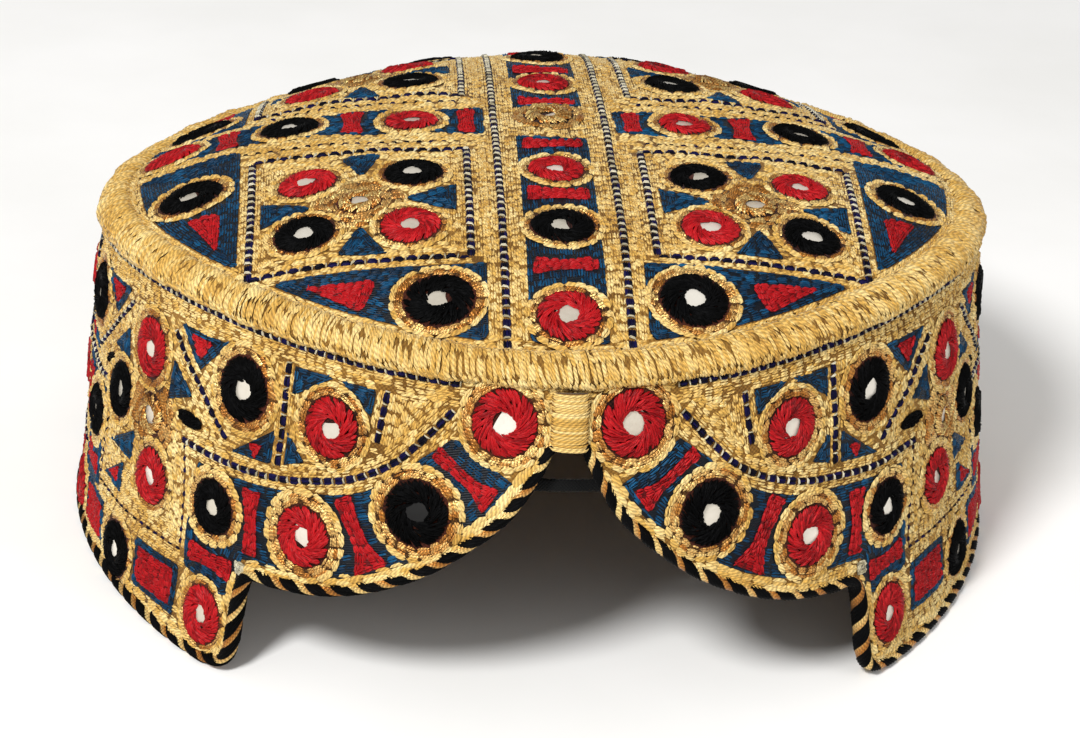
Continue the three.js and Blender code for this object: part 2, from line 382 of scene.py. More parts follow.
class BandChart(Chart):
    """The band unrolled: x round to the right at the mean girth, y down from the line under the roll."""

    slot = "band_cloth"
    facing = -1
    girth_radius = 92.0
    whole = TURN * girth_radius
    top = -1.4
    cord_room = 1.9
    front_depth = 68.0
    seam = 23.5
    full_until = math.radians(62)
    even_from = math.radians(120)

    def angle(self, x: Array) -> Array:
        """The angle about the cap of a place round the band."""
        return x / self.girth_radius

    def squeeze(self, angle: Array) -> Array:
        """How much the plan is drawn together downwards where the band is lower, towards the back.

        Args:
            angle: Angles from the front.

        Returns:
            The factors.
        """
        turned = np.abs((angle + math.pi) % TURN - math.pi)
        share = np.clip((turned - self.full_until) / (self.even_from - self.full_until), 0, 1)
        share = share * share * (3 - 2 * share)
        return 1 + share * (CAP.ladder.at(angle) / self.front_depth - 1)

    @cache
    def finished_edge(self) -> Array:
        """The cap's finished lower edge on the plan, once round.

        Returns:
            Its points.
        """
        edge = EDGE.whole()
        angle = edge[:, 0] / EDGE.radius
        drop = (CAP.ladder.at(angle) - edge[:, 1]) / self.squeeze(angle)
        return np.stack([angle * self.girth_radius, drop], -1)

    def surface(self, flat: Array) -> Array:
        """Points of the band's outer face.

        Args:
            flat: Places on the plan.

        Returns:
            The points.
        """
        x, y = flat[..., 0], flat[..., 1]
        angle = self.angle(x)
        height = CAP.ladder.at(angle) - y * self.squeeze(angle)
        quilted = 0.2 * np.sin(28 * angle) * np.sin(y / 3.1) + 0.3 * np.sin(8 * angle + 1) * np.sin(y / 10)
        return CAP.band_point(angle, height, quilted * np.clip(y / 8, 0, 1))

    def inside(self, flat: Array) -> Array:
        """Which points are between the roll and the edging.

        Args:
            flat: Places on the plan.

        Returns:
            True for each place that is.
        """
        angle = self.angle(flat[..., 0])
        drop = (CAP.ladder.at(angle) - EDGE.height_at(angle)) / self.squeeze(angle)
        found = (flat[..., 1] > self.top) & (flat[..., 1] < drop)
        near = flat[found]
        near = np.stack([(near[:, 0] + self.whole / 2) % self.whole - self.whole / 2, near[:, 1]], -1)
        found[found] = distance_to(near, self.finished_edge()) > self.cord_room
        return found

    def own(self, flat: Array) -> Array:
        """Which points are on the turn that starts at the seam."""
        from_seam = flat[..., 0] + self.whole / 2 - self.seam
        return (from_seam > 0) & (from_seam <= self.whole)


CROWN = CrownChart()
BAND = BandChart()


# ---------------------------------------------------------------- meshes


def new_object(name: str, points: Array, faces: list[Array], *finishes: Material, smooth: bool = True) -> Piece:
    """Makes a mesh object that rides on the cap.

    Args:
        name: The piece's name.
        points: Its vertices, in millimetres.
        faces: Arrays of vertex numbers, one array for each number of corners.
        finishes: Its materials.
        smooth: Whether it is shaded smooth.

    Returns:
        The new object.
    """
    corners = np.concatenate([f.ravel() for f in faces]).astype(np.int32)
    sizes = np.concatenate([np.full(len(f), f.shape[1]) for f in faces]).astype(np.int32)
    starts = np.concatenate([[0], np.cumsum(sizes)[:-1]]).astype(np.int32)
    mesh = bpy.data.meshes.new(name)
    mesh.vertices.add(len(points))
    mesh.vertices.foreach_set("co", (points * MM).astype(np.float32).ravel())
    mesh.loops.add(len(corners))
    mesh.loops.foreach_set("vertex_index", corners)
    mesh.polygons.add(len(sizes))
    mesh.polygons.foreach_set("loop_start", starts)
    mesh.polygons.foreach_set("use_smooth", np.full(len(sizes), smooth))
    mesh.update(calc_edges=True)
    mesh.validate()
    for finish in finishes:
        mesh.materials.append(finish)
    made = bpy.data.objects.new(name, mesh)
    bpy.context.scene.collection.objects.link(made)
    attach(made, BODY)
    return made


def mark(made: Piece, name: str, values: Array) -> None:
    """Stores a number or a vector for each vertex, under a name that the finishes read.

    Args:
        made: The piece.
        name: The attribute's name.
        values: The values, in the order of the vertices.
    """
    kind, field_name = ("FLOAT", "value") if values.ndim == 1 else ("FLOAT_VECTOR", "vector")
    attribute = made.data.attributes.new(name, kind, "POINT")
    attribute.data.foreach_set(field_name, values.astype(np.float32).ravel())


def grid_faces(rows: int, columns: int, closed_rows: bool = False, closed_columns: bool = False) -> Array:
    """Quads over a grid of vertices, numbered row by row.

    Args:
        rows: Vertices along the first axis.
        columns: Vertices along the second axis.
        closed_rows: Whether the last row joins the first.
        closed_columns: Whether the last column joins the first.

    Returns:
        The quads, one in each row.
    """
    i = np.arange(rows if closed_rows else rows - 1)[:, None]
    j = np.arange(columns if closed_columns else columns - 1)[None, :]
    k, m = (i + 1) % rows, (j + 1) % columns
    return np.stack([i * columns + j, k * columns + j, k * columns + m, i * columns + m], -1).reshape(-1, 4)


@dataclass
class Stitches:
    """Stitches of one kind: each a spine of four places on the chart, with its height and width there."""

    flat: Array
    lift: Array
    half: Array
    tone: Array

    def __len__(self) -> int:
        """How many stitches there are."""
        return len(self.flat)

    def kept(self, mask: Array) -> "Stitches":
        """The stitches for which the mask is true."""
        return Stitches(self.flat[mask], self.lift[mask], self.half[mask], self.tone[mask])

    def centres(self) -> Array:
        """Their middles on the chart."""
        return self.flat[:, 1:3].mean(1)

    @staticmethod
    def joined(several: list["Stitches"]) -> "Stitches":
        """Several lots as one."""
        return Stitches(*(np.concatenate([getattr(s, n) for s in several]) for n in ("flat", "lift", "half", "tone")))


def thread_mesh(
    name: str, base: Array, out: Array, half: Array, rise: Array, tone: Array, finish: Material, closed: bool = False
) -> Piece:
    """Makes lengths of thread as ridges with three vertices to a section, drawn to a point at each end unless closed.

    Args:
        name: The piece's name.
        base: Spine points in space, one row of them for each length.
        out: Unit normals at the spine points.
        half: Half widths at the spine points.
        rise: Heights of the ridge above the spine points.
        tone: One value from 0 to 1 for each length.
        finish: The thread's finish.
        closed: Whether each length runs round into itself.

    Returns:
        The new object, with a "thread" attribute of run, side and tone.
    """
    count, spine = half.shape
    if closed:
        ahead, behind = np.roll(base, -1, 1), np.roll(base, 1, 1)
    else:
        ahead = np.concatenate([base[:, 1:], base[:, -1:]], 1)
        behind = np.concatenate([base[:, :1], base[:, :-1]], 1)
    side = unit(np.cross(out, ahead - behind))
    left = base + side * half[..., None]
    right = base - side * half[..., None]
    crest = base + out * rise[..., None]
    points = np.stack([left, crest, right], 2)
    points[..., 2] = np.maximum(points[..., 2], FLOOR_GAP)
    steps = np.linalg.norm(np.diff(base, axis=1), axis=-1)
    run = np.concatenate([np.zeros((count, 1)), np.cumsum(steps, 1)], 1)
    parts = run[..., None], np.array([-1.0, 0.0, 1.0]), tone[:, None, None]
    info = np.stack([np.broadcast_to(part, (count, spine, 3)) for part in parts], -1)
    numbers = np.arange(count * spine * 3).reshape(count, spine, 3)
    if closed:
        a, b = numbers, np.roll(numbers, -1, 1)
        faces = [quads(a, b)]
        vertices, info = points.reshape(-1, 3), info.reshape(-1, 3)
    else:
        a, b = numbers[:, 1:-2], numbers[:, 2:-1]
        first, last = numbers[:, 0, 1], numbers[:, -1, 1]
        start, end = numbers[:, 1], numbers[:, -2]
        caps = [
            np.stack([first, start[:, 1], start[:, 0]], -1),
            np.stack([first, start[:, 2], start[:, 1]], -1),
            np.stack([last, end[:, 0], end[:, 1]], -1),
            np.stack([last, end[:, 1], end[:, 2]], -1),
        ]
        faces = [quads(a, b), np.concatenate(caps)]
        used = np.ones((count, spine, 3), bool)
        used[:, (0, -1), 0] = used[:, (0, -1), 2] = False
        points[:, (0, -1), 1] = base[:, (0, -1)]
        new_number = np.cumsum(used.ravel()) - 1
        faces = [new_number[f] for f in faces]
        vertices, info = points[used], info[used]
    made = new_object(name, vertices, faces, finish)
    mark(made, "thread", info)
    return made


def quads(a: Array, b: Array) -> Array:
    """The two outward faces between each section a and the next section b.

    Args:
        a: Vertex numbers of the sections, three each.
        b: Those of the sections after them.

    Returns:
        The faces, four numbers each.
    """
    one = np.stack([a[..., 0], a[..., 1], b[..., 1], b[..., 0]], -1).reshape(-1, 4)
    two = np.stack([a[..., 1], a[..., 2], b[..., 2], b[..., 1]], -1).reshape(-1, 4)
    return np.concatenate([one, two])


# ---------------------------------------------------------------- stitches on a chart


class Floss(Enum):
    """The threads that the cap is sewn with."""

    GOLD = "gold_cotton"
    ZARI = "zari"
    RED = "red_floss"
    BLACK = "black_floss"
    BLUE = "blue_floss"
    NAVY = "navy_floss"
    CREAM = "cream_cotton"


Lots = list[tuple[Floss, Stitches]]


@dataclass(frozen=True)
class ChainStyle:
    """Sizes of one row of chain stitch."""

    width: float = 1.04
    length: float = 2.1
    lift: float = 0.0
    rise: float = 0.5
    spread: tuple[float, ...] = (0.05, 0.27, 0.26, 0.03)
    reach: tuple[float, ...] = (-0.16, 0.24, 0.78, 1.22)
    swell: tuple[float, ...] = (0.0, 0.33, 0.34, 0.0)
    arch: tuple[float, ...] = (0.1, 0.85, 1.0, 0.3)


# How far apart the gold ground's rows lie.
ROW_PITCH = 0.98
GROUND_ROW = ChainStyle()
ROUND_ROW = ChainStyle(width=0.98, length=2.2, lift=0.2)
FLOSS_ROW = ChainStyle(width=1.0, length=2.1, lift=0.08, rise=0.45, swell=(0.0, 0.25, 0.26, 0.0))
HEM_ROW = ChainStyle(width=1.25, length=2.6, lift=0.2, rise=0.6, reach=(-0.2, 0.25, 0.85, 1.35))
RED_ROW = ChainStyle(width=0.9, length=1.6, lift=0.28, rise=0.45, swell=(0.0, 0.26, 0.27, 0.0))


def offset_line(line: Array, offset: float, closed: bool = False) -> Array:
    """A line moved sideways, to its left for a positive offset.

    Args:
        line: The line's points.
        offset: How far it moves.
        closed: Whether the line is a loop.

    Returns:
        The moved points.
    """
    if closed:
        along = np.roll(line, -1, 0) - np.roll(line, 1, 0)
    else:
        along = np.gradient(line, axis=0)
    along = unit(along)
    return line + offset * np.stack([-along[:, 1], along[:, 0]], -1)


def chain_row(line: Array, style: ChainStyle, rng: Random) -> Stitches:
    """One row of chain stitch: two bowed legs for each loop.

    Args:
        line: The row's middle line on the chart.
        style: The row's sizes.
        rng: The hand's unevenness.

    Returns:
        The stitches.
    """
    walked = walk(line)
    count = max(1, round(walked[-1] / style.length))
    pitch = walked[-1] / count
    start = (np.arange(count) + rng.normal(0, 0.13, count) + rng.uniform(-0.4, 0.4)) * pitch
    run = start[:, None] + np.array(style.reach) * pitch * rng.normal(1, 0.1, (count, 1))
    beside = offset_line(line, 1.0) - line
    flat, normal = read_at(run, walked, line), read_at(run, walked, beside)
    legs = []
    for sign in (-1, 1):
        spread = style.width * (sign * np.array(style.spread) + rng.normal(0, 0.055, (count, 4)))
        legs.append(flat + normal * spread[..., None])
    flat = np.concatenate(legs)
    size = 1 + rng.normal(0, 0.16, (2 * count, 1))
    half = style.width * np.array(style.swell) * size
    lift = style.lift + style.rise * (np.array(style.arch) - 1) * 0.6 + rng.normal(0, 0.07, (2 * count, 1))
    tone = 0.1 + np.tile(rng.uniform(0, 1, count), 2) * 0.5 + rng.uniform(0, 0.3, 2 * count)
    return Stitches(flat, lift, half, tone)


def strands(
    start: Array, end: Array, half: float, lift: tuple[float, ...], rng: Random, blunt: float = 0.28
) -> Stitches:
    """Satin strands laid straight from start to end.

    Args:
        start: First ends, on the chart.
        end: Second ends.
        half: Half width of each strand.
        lift: Heights above the cloth at the four spine points.
        rng: The hand's unevenness.
        blunt: How much of the strand's length each end takes to narrow.

    Returns:
        The stitches.
    """
    share = np.array([0, blunt, 1 - blunt, 1.0])[None, :, None]
    flat = start[:, None] * (1 - share) + end[:, None] * share
    count = len(flat)
    width = half * (1 + rng.normal(0, 0.12, (count, 1)))
    height = np.array(lift)[None, :] + rng.normal(0, 0.035, (count, 1))
    return Stitches(flat, height, width * np.ones((1, 4)), rng.uniform(0, 1, count))


def in_polygon(points: Array, corners: Array) -> Array:
    """Which points are inside a closed polygon.

    Args:
        points: The points.
        corners: The polygon's corners in order.

    Returns:
        True for each point inside.
    """
    x, y = points[..., 0], points[..., 1]
    found = np.zeros(x.shape, bool)
    for (ax, ay), (bx, by) in zip(corners, np.roll(corners, -1, 0), strict=True):
        crosses = (ay > y) != (by > y)
        if ay != by:
            found ^= crosses & (x < (bx - ax) * (y - ay) / (by - ay) + ax)
    return found


def distance_to(points: Array, samples: Array) -> Array:
    """The distance of each point to the nearest sample.

    Args:
        points: Points of the chart, one in each row.
        samples: Closely spaced points of the lines.

    Returns:
        One distance for each point.
    """
    if len(points) * len(samples) < 60000:
        squared = ((points[:, None, :] - samples[None]) ** 2).sum(-1)
        return np.sqrt(squared.min(1))
    tree = KDTree(len(samples))
    for i, (x, y) in enumerate(samples.tolist()):
        tree.insert((x, y, 0), i)
    tree.balance()
    return np.array([tree.find((x, y, 0))[2] for x, y in points.tolist()])


class Motif(ABC):
    """A shape of the chart that hides what lies under it."""

    @abstractmethod
    def mapped(self, place: "Placing") -> "Motif":
        """The same shape somewhere else on the chart."""

    @abstractmethod
    def middle(self) -> Array:
        """A point that stands for where it is."""

    @abstractmethod
    def covers(self, points: Array) -> Array:
        """Which points it hides."""

    @abstractmethod
    def sewn(self, rng: Random) -> Lots:
        """Its stitches, each lot with its thread."""


@dataclass(frozen=True)
class Placing:
    """Where a copy of a charted shape goes: mirrored by sign, shifted, and bowed towards the back."""

    sign: Point = (1, 1)
    shift: Point = (0, 0)
    bow: float = 0.0

    def at(self, points: Array) -> Array:
        """Points of the copy.

        Args:
            points: Points of the charted shape.

        Returns:
            The points moved.
        """
        moved = points * self.sign + self.shift
        if self.bow:
            x, y = moved[..., 0], moved[..., 1]
            front = np.clip((20 + y) / 12, 0, 1)
            back = np.clip((62 - y) / 54, 0, 1)
            moved = np.stack([x, y + self.bow * x**2 * np.minimum(front, back)], -1)
        return moved


@dataclass(frozen=True)
class Ring(Motif):
    """A mirror held by a puffed satin ring, with rounds of chain stitch about it."""

    x: float
    y: float
    floss: Floss
    satin: float = 5.6
    outer: float = 8.6
    mirror: float = 1.85
    squash: float = 1.0
    glass: float = 0.6
    pitch: float = 0.38
    slant: float = 1.9
    gap: float = 0.3
    round_pitch: float = 0.86

    def mapped(self, place: Placing) -> "Ring":
        """The same ring somewhere else."""
        x, y = place.at(np.array([self.x, self.y]))
        return replace(self, x=float(x), y=float(y), slant=self.slant * place.sign[0])

    def middle(self) -> Array:
        """Its centre."""
        return np.array([self.x, self.y])

    def circle(self, radius: float, count: int, closed: bool = True) -> Array:
        """Points on a circle about the centre."""
        angle = np.linspace(0, TURN, count, endpoint=not closed)
        return self.middle() + radius * np.stack([self.squash * np.cos(angle), np.sin(angle)], -1)

    def covers(self, points: Array) -> Array:
        """Which points are inside the outermost round."""
        away = (points - self.middle()) / (self.squash, 1)
        return np.hypot(away[..., 0], away[..., 1]) < self.outer - 0.1

    def sewn(self, rng: Random) -> Lots:
        """The satin ring and the rounds."""
        radius = self.satin + 0.15
        return [*self.puffed(radius, rng), *self.rounds(radius + self.gap, rng)]

    def puffed(self, radius: float, rng: Random) -> Lots:
        """The satin ring, in two or three tiers of slanted strands that swell over its middle.

        Args:
            radius: Its outer radius.
            rng: The hand's unevenness.

        Returns:
            Its stitches, each lot with its thread.
        """
        rounds = max(2, round((radius - self.mirror) / 1.35))
        edges = np.linspace(self.mirror + 0.25, radius, rounds + 1)
        lots = []
        for i in range(rounds):
            count = round(TURN * edges[i : i + 2].mean() / self.pitch)
            angle = np.arange(count) * TURN / count + rng.normal(0, 0.03, count)
            waves = sum(0.07 * np.sin(k * angle + rng.uniform(0, TURN)) for k in (1, 2, 3)) * (i == 0)
            inner = edges[i] - (0.1 if i == 0 else 0.55) + edges[i] * waves + rng.normal(0, 0.1, count)
            outer = edges[i + 1] + (0.3 if i < rounds - 1 else 0) + rng.normal(0, 0.1, count)
            turned = angle + self.slant / edges[i] * rng.normal(1, 0.2, count)
            spots = [
                np.stack([np.cos(t), np.sin(t)], -1) * r[:, None] * (self.squash, 1) + self.middle()
                for t, r in ((angle, inner), (turned, outer))
            ]
            puff = [0.35 + 0.6 * math.sin(math.pi * (i + t) / rounds) for t in (0.0, 0.3, 0.7, 1.0)]
            lots.append((self.floss, strands(*spots, self.pitch * 0.62, tuple(puff), rng, 0.16)))
        return lots

    def rounds(self, start: float, rng: Random) -> Lots:
        """The rounds of chain stitch about the satin, gilt inside and gold outermost.

        Args:
            start: The innermost round's inner radius.
            rng: The hand's unevenness.

        Returns:
            Their stitches, each lot with its thread.
        """
        rounds = max(1, round((self.outer - start) / self.round_pitch))
        width = (self.outer - start) / rounds
        lots = []
        for i in range(rounds):
            round_radius = start + width * (i + 0.5)
            line = self.circle(round_radius, round(round_radius * 8), closed=False)
            outermost = i == rounds - 1
            floss = Floss.ZARI if self.floss is Floss.ZARI or not outermost else Floss.GOLD
            style = replace(ROUND_ROW, width=width * 1.12, lift=0.34 if outermost else 0.24)
            lots.append((floss, chain_row(line, style, rng)))
        return lots


@dataclass(frozen=True)
class Patch(Motif):
    """A filled shape, sewn in rows of chain stitch that echo its outline."""

    corners: tuple[Point, ...]
    floss: Floss
    style: ChainStyle = FLOSS_ROW

    def outline(self) -> Array:
        """Its outline with points about half a millimetre apart, turning left.

        Returns:
            The points.
        """
        corners = np.array(self.corners, float)
        area = np.sum(corners[:, 0] * np.roll(corners[:, 1], -1) - np.roll(corners[:, 0], -1) * corners[:, 1])
        if area < 0:
            corners = corners[::-1]
        return even_steps(np.vstack([corners, corners[:1]]), 0.5)[:-1]

    def mapped(self, place: Placing) -> "Patch":
        """The same patch somewhere else.

        Args:
            place: Where it goes.

        Returns:
            The copy.
        """
        corners = np.array(self.corners, float)
        if place.bow:
            corners = even_steps(np.vstack([corners, corners[:1]]), 2.5)[:-1]
        return replace(self, corners=tuple(map(tuple, place.at(corners))))

    def middle(self) -> Array:
        """The mean of its corners."""
        return np.array(self.corners, float).mean(0)

    def covers(self, points: Array) -> Array:
        """Which points are inside the outline."""
        return in_polygon(points, np.array(self.corners, float))

    def sewn(self, rng: Random) -> Lots:
        """Rows from the outline inwards.

        Args:
            rng: The hand's unevenness.

        Returns:
            The stitches, each lot with its thread.
        """
        outline = self.outline()
        lots = []
        reach = float(np.ptp(outline, axis=0).min()) / 2
        rows = int(reach / self.style.width) + 1
        for i in range(rows):
            inset = self.style.width * (0.5 + i)
            line = offset_line(outline, inset, closed=True)
            line = np.vstack([line, line[:1]])
            row = chain_row(line, self.style, rng)
            middle = row.centres()
            fits = in_polygon(middle, outline) & (distance_to(middle, outline) > inset - self.style.width * 0.42)
            lots.append((self.floss, row.kept(fits)))
        return lots


@dataclass(frozen=True)
class Line(Motif):
    """A line of the chart that gold rows run beside, a ladder of squares and ticks where it is one."""

    points: tuple[Point, ...]
    ladder: bool = True
    half_width: float = 0.72
    pitch: float = 2.4
    rows: int = 9
    smooth: bool = False
    dashed: bool = False
    first: float = 0.0
    row_pitch: float = ROW_PITCH

    def mapped(self, place: Placing) -> "Line":
        """The same line somewhere else."""
        line = even_steps(np.array(self.points, float), 3.0) if place.bow else np.array(self.points, float)
        return replace(self, points=tuple(map(tuple, place.at(line))))

    def middle(self) -> Array:
        """The mean of its points."""
        return np.array(self.points, float).mean(0)

    @cache
    def line(self, step: float = 0.8) -> Array:
        """Its points, evenly spaced.

        Args:
            step: The distance between them.

        Returns:
            The points.
        """
        points = np.array(self.points, float)
        if self.smooth:
            ends = 2 * points[0] - points[1], 2 * points[-1] - points[-2]
            points = catmull_rom(np.vstack([ends[0], points, ends[1]]), 12)
        return even_steps(points, step)

    def covers(self, points: Array) -> Array:
        """Which points are under the ladder."""
        if not self.ladder:
            return np.zeros(points.shape[:-1], bool)
        return distance_to(points.reshape(-1, 2), self.line(0.4)).reshape(points.shape[:-1]) < self.half_width

    def sewn(self, rng: Random) -> Lots:
        """The ladder's squares and ticks.

        Args:
            rng: The hand's unevenness.

        Returns:
            The stitches, each lot with its thread.
        """
        if not self.ladder:
            return []
        line = self.line(0.4)
        walked = walk(line)
        count = max(1, round(walked[-1] / self.pitch))
        pitch = walked[-1] / count
        beside = offset_line(line, 1.0) - line

        def at(run: Array, side: float) -> Array:
            """Places along the ladder, to one side of it."""
            return read_at(run, walked, line) + side * read_at(run, walked, beside)

        start = np.arange(count) * pitch
        if self.dashed:
            dash = strands(at(start, 0), at(start + pitch * 0.6, 0), 0.3, (0.0, 0.12, 0.12, 0.0), rng)
            return [(Floss.NAVY, dash)]
        lots = []
        for side in (-0.62, 0.0, 0.62):
            off = side * self.half_width
            square = strands(at(start + 0.1, off), at(start + pitch - 0.1, off), 0.3, (0.05, 0.3, 0.3, 0.05), rng)
            lots.append((Floss.NAVY, square))
        run = start + rng.normal(0, 0.08, count)
        lean = rng.normal(0.15, 0.15, count)
        off = 1.2 * self.half_width
        tick = strands(at(run - lean, -off), at(run + lean, off), 0.13, (0.05, 0.42, 0.42, 0.05), rng)
        lots.append((Floss.CREAM, tick))
        return lots

    def echoes(self, rng: Random) -> list[tuple[float, Stitches]]:
        """Gold rows on both sides, each with its distance from the line.

        Args:
            rng: The hand's unevenness.

        Returns:
            The rows' stitches after their distances.
        """
        line = self.line()
        first = self.half_width + self.row_pitch * 0.5 if self.ladder else self.first
        found = []
        for i in range(self.rows):
            away = first + self.row_pitch * i
            for sign in (-1, 1) if away else (1,):
                moved = even_steps(offset_line(line, sign * away), 0.8)
                found.append((away, chain_row(moved, GROUND_ROW, rng)))
        return found


@dataclass(frozen=True)
class Hem(Motif):
    """Two bold gold rows, close together, that follow the edging all round."""

    rows: tuple[float, ...] = (0.5, 1.65)
    reach: float = 2.3

    @cache
    def line(self) -> Array:
        """The finished edge on the plan, far enough round for one turn from any seam."""
        edge = BAND.finished_edge()
        return np.vstack([edge, edge + (BAND.whole, 0)])

    def mapped(self, place: Placing) -> "Hem":
        """The same hem, which is the same everywhere."""
        return self

    def middle(self) -> Array:
        """The middle of the front."""
        return np.zeros(2)

    def covers(self, points: Array) -> Array:
        """Which points are under the rows."""
        away = distance_to(points.reshape(-1, 2), self.line()).reshape(points.shape[:-1])
        return away < BAND.cord_room + self.reach

    def sewn(self, rng: Random) -> Lots:
        """The rows."""
        sides = [offset_line(self.line(), -(BAND.cord_room + r)) for r in self.rows]
        return [(Floss.GOLD, chain_row(even_steps(line, 0.8), HEM_ROW, rng)) for line in sides]


def hourglass(a: Point, b: Point, ends: Point, waist: float) -> tuple[Point, ...]:
    """The outline of a bar that narrows in the middle.

    Args:
        a: The middle of one end.
        b: The middle of the other end.
        ends: Half widths at a and at b.
        waist: Half width in the middle.

    Returns:
        The outline's corners.
    """
    start, end = np.array(a), np.array(b)
    along = unit(end - start)
    side = np.array([-along[1], along[0]])
    rows = ((0, ends[0]), (0.3, waist * 1.15), (0.5, waist), (0.7, waist * 1.15), (1, ends[1]))
    one = [start + (end - start) * t + side * w for t, w in rows]
    two = [start + (end - start) * t - side * w for t, w in reversed(rows)]
    return tuple(tuple(map(float, p)) for p in [*one, *two])


def arc_between(start: float, end: float, radius: float, count: int = 12) -> tuple[Point, ...]:
    """Points (x, front) on a circle about the crown's middle, between two angles from the front in degrees."""
    angles = np.radians(np.linspace(start, end, count))
    return tuple((float(radius * math.sin(a)), float(radius * math.cos(a))) for a in angles)


@dataclass(frozen=True)
class CrownPattern:
    """The crown's pattern: one quarter as (x, distance to the front), mirrored both ways."""

    bow: float = 0.0017
    rim: float = 79.6
    rings: tuple[Ring, ...] = (
        Ring(0, 24.0, Floss.RED, 5.2, 7.4, 1.8),
        Ring(0, 47.5, Floss.BLACK, 5.7, 7.9, 2.0),
        Ring(0, 73.0, Floss.RED, 5.5, 7.9, 1.9),
        Ring(27.0, 0, Floss.RED, 5.0, 7.3),
        Ring(50.4, 0, Floss.BLACK, 5.4, 7.5),
        Ring(73.2, 0, Floss.RED, 5.2, 7.3),
        Ring(27.2, 27.0, Floss.BLACK, 5.4, 7.5, 1.9),
        Ring(47.0, 27.4, Floss.RED, 5.2, 7.3, 1.8),
        Ring(27.8, 46.8, Floss.RED, 5.4, 7.5, 1.9),
        Ring(47.3, 46.2, Floss.BLACK, 5.4, 7.5, 1.9),
        Ring(22.8, 68.3, Floss.BLACK, 6.2, 8.9, 2.0),
        Ring(68.6, 20.8, Floss.BLACK, 5.7, 8.1, 1.8),
        Ring(37.3, 37.6, Floss.ZARI, 3.9, 8.4, 1.8),
    )
    centre: Ring = Ring(0, 3.0, Floss.ZARI, 4.6, 7.0, 1.7)
    bars_across: tuple[tuple[float, float, float], ...] = ((11.7, 2.4, 1.4), (34.5, 2.7, 1.8), (60.0, 2.3, 1.3))
    bars_along: tuple[tuple[float, float, float], ...] = ((16.4, 1.9, 1.4), (38.5, 2.5, 1.5), (62.4, 2.5, 1.5))
    bar_half: float = 5.9
    blue_triangles: tuple[tuple[Point, ...], ...] = (
        ((33.0, 17.6), (41.0, 17.6), (37.0, 27.5)),
        ((32.0, 54.6), (41.5, 54.6), (37.3, 45.5)),
        ((55.6, 32.0), (55.6, 42.0), (45.5, 37.2)),
        ((19.2, 32.0), (19.2, 42.0), (29.5, 37.2)),
    )
    red_triangles: tuple[tuple[Point, ...], ...] = (
        ((46.9, 61.8), (33.8, 62.4), (36.6, 70.2)),
        ((69.3, 30.8), (63.0, 31.3), (63.3, 45.8)),
    )
    frame_near: float = 16.9
    frame_far: float = 57.4
    frame_top: float = 15.6
    frame_foot: float = 56.8
    rail: float = 11.0

    def quarter(self) -> list[Motif]:
        """The motifs of one quarter, topmost first.

        Returns:
            The motifs.
        """
        near, far, top, foot = self.frame_near, self.frame_far, self.frame_top, self.frame_foot
        half = self.bar_half
        bars = [hourglass((-half, f), (half, f), (end, end), waist) for f, end, waist in self.bars_across]
        bars += [hourglass((x, -half), (x, half), (end, end), waist) for x, end, waist in self.bars_along]
        reds = [Patch(corners, Floss.RED, RED_ROW) for corners in (*bars, *self.red_triangles)]
        ladders = [
            Line(((self.rail, -1.0), (self.rail, 80.4))),
            Line(((near, top), (near, foot))),
            Line(((near, foot), (far, foot)), half_width=0.5),
            Line(((far, foot), (far, top))),
            Line(((near, top), (far, top)), half_width=0.5),
        ]
        front_rim = ((14.2, 59.0), (53.4, 59.0), *arc_between(42.0, 10.3, self.rim), (14.2, 78.3))
        side_rim = ((59.7, 52.0), *arc_between(49.5, 83.0, self.rim), (59.7, 9.8))
        blues = [
            Patch(((-7.0, 8.4), (7.0, 8.4), (7.0, 79.3), (-7.0, 79.3)), Floss.BLUE),
            Patch(((12.9, -6.7), (79.3, -6.7), (79.3, 6.7), (12.9, 6.7)), Floss.BLUE),
            Patch(front_rim, Floss.BLUE),
            Patch(side_rim, Floss.BLUE),
            *[Patch(t, Floss.BLUE) for t in self.blue_triangles],
        ]
        plain = [
            Line(((12.5, 7.4), (79.0, 7.4)), ladder=False, rows=8),
            Line(((18.0, 11.4), (72.0, 11.4)), half_width=0.3, dashed=True, rows=3),
            Line(arc_between(0, 90, 80.7, 40), ladder=False, rows=3),
        ]
        return [*self.rings, *reds, *ladders, *blues, *plain]

    def motifs(self) -> list[Motif]:
        """The whole crown's motifs, topmost first."""
        quarters = [Placing((x, y), bow=self.bow) for y in (-1.0, 1.0) for x in (1.0, -1.0)]
        return [self.centre, *placed(self.quarter(), quarters)]


def placed(motifs: list[Motif], placings: list[Placing], hem: Hem | None = None, apart: float = 0.6) -> list[Motif]:
    """Copies of the motifs, without those that fall on their own mirror image.

    Args:
        motifs: The charted motifs, topmost first.
        placings: Where the copies go.
        hem: A hem that goes in over the first filled shape in blue.
        apart: Copies nearer than this to one of the same motif are left out.

    Returns:
        The copies, topmost first.
    """
    found: list[Motif] = []
    for motif in motifs:
        if hem and isinstance(motif, Patch) and motif.floss is Floss.BLUE:
            found.append(hem)
            hem = None
        copies: list[Motif] = []
        for place in placings:
            copy = motif.mapped(place)
            if all(np.linalg.norm(copy.middle() - other.middle()) > apart for other in copies):
                copies.append(copy)
        found += copies
    return found


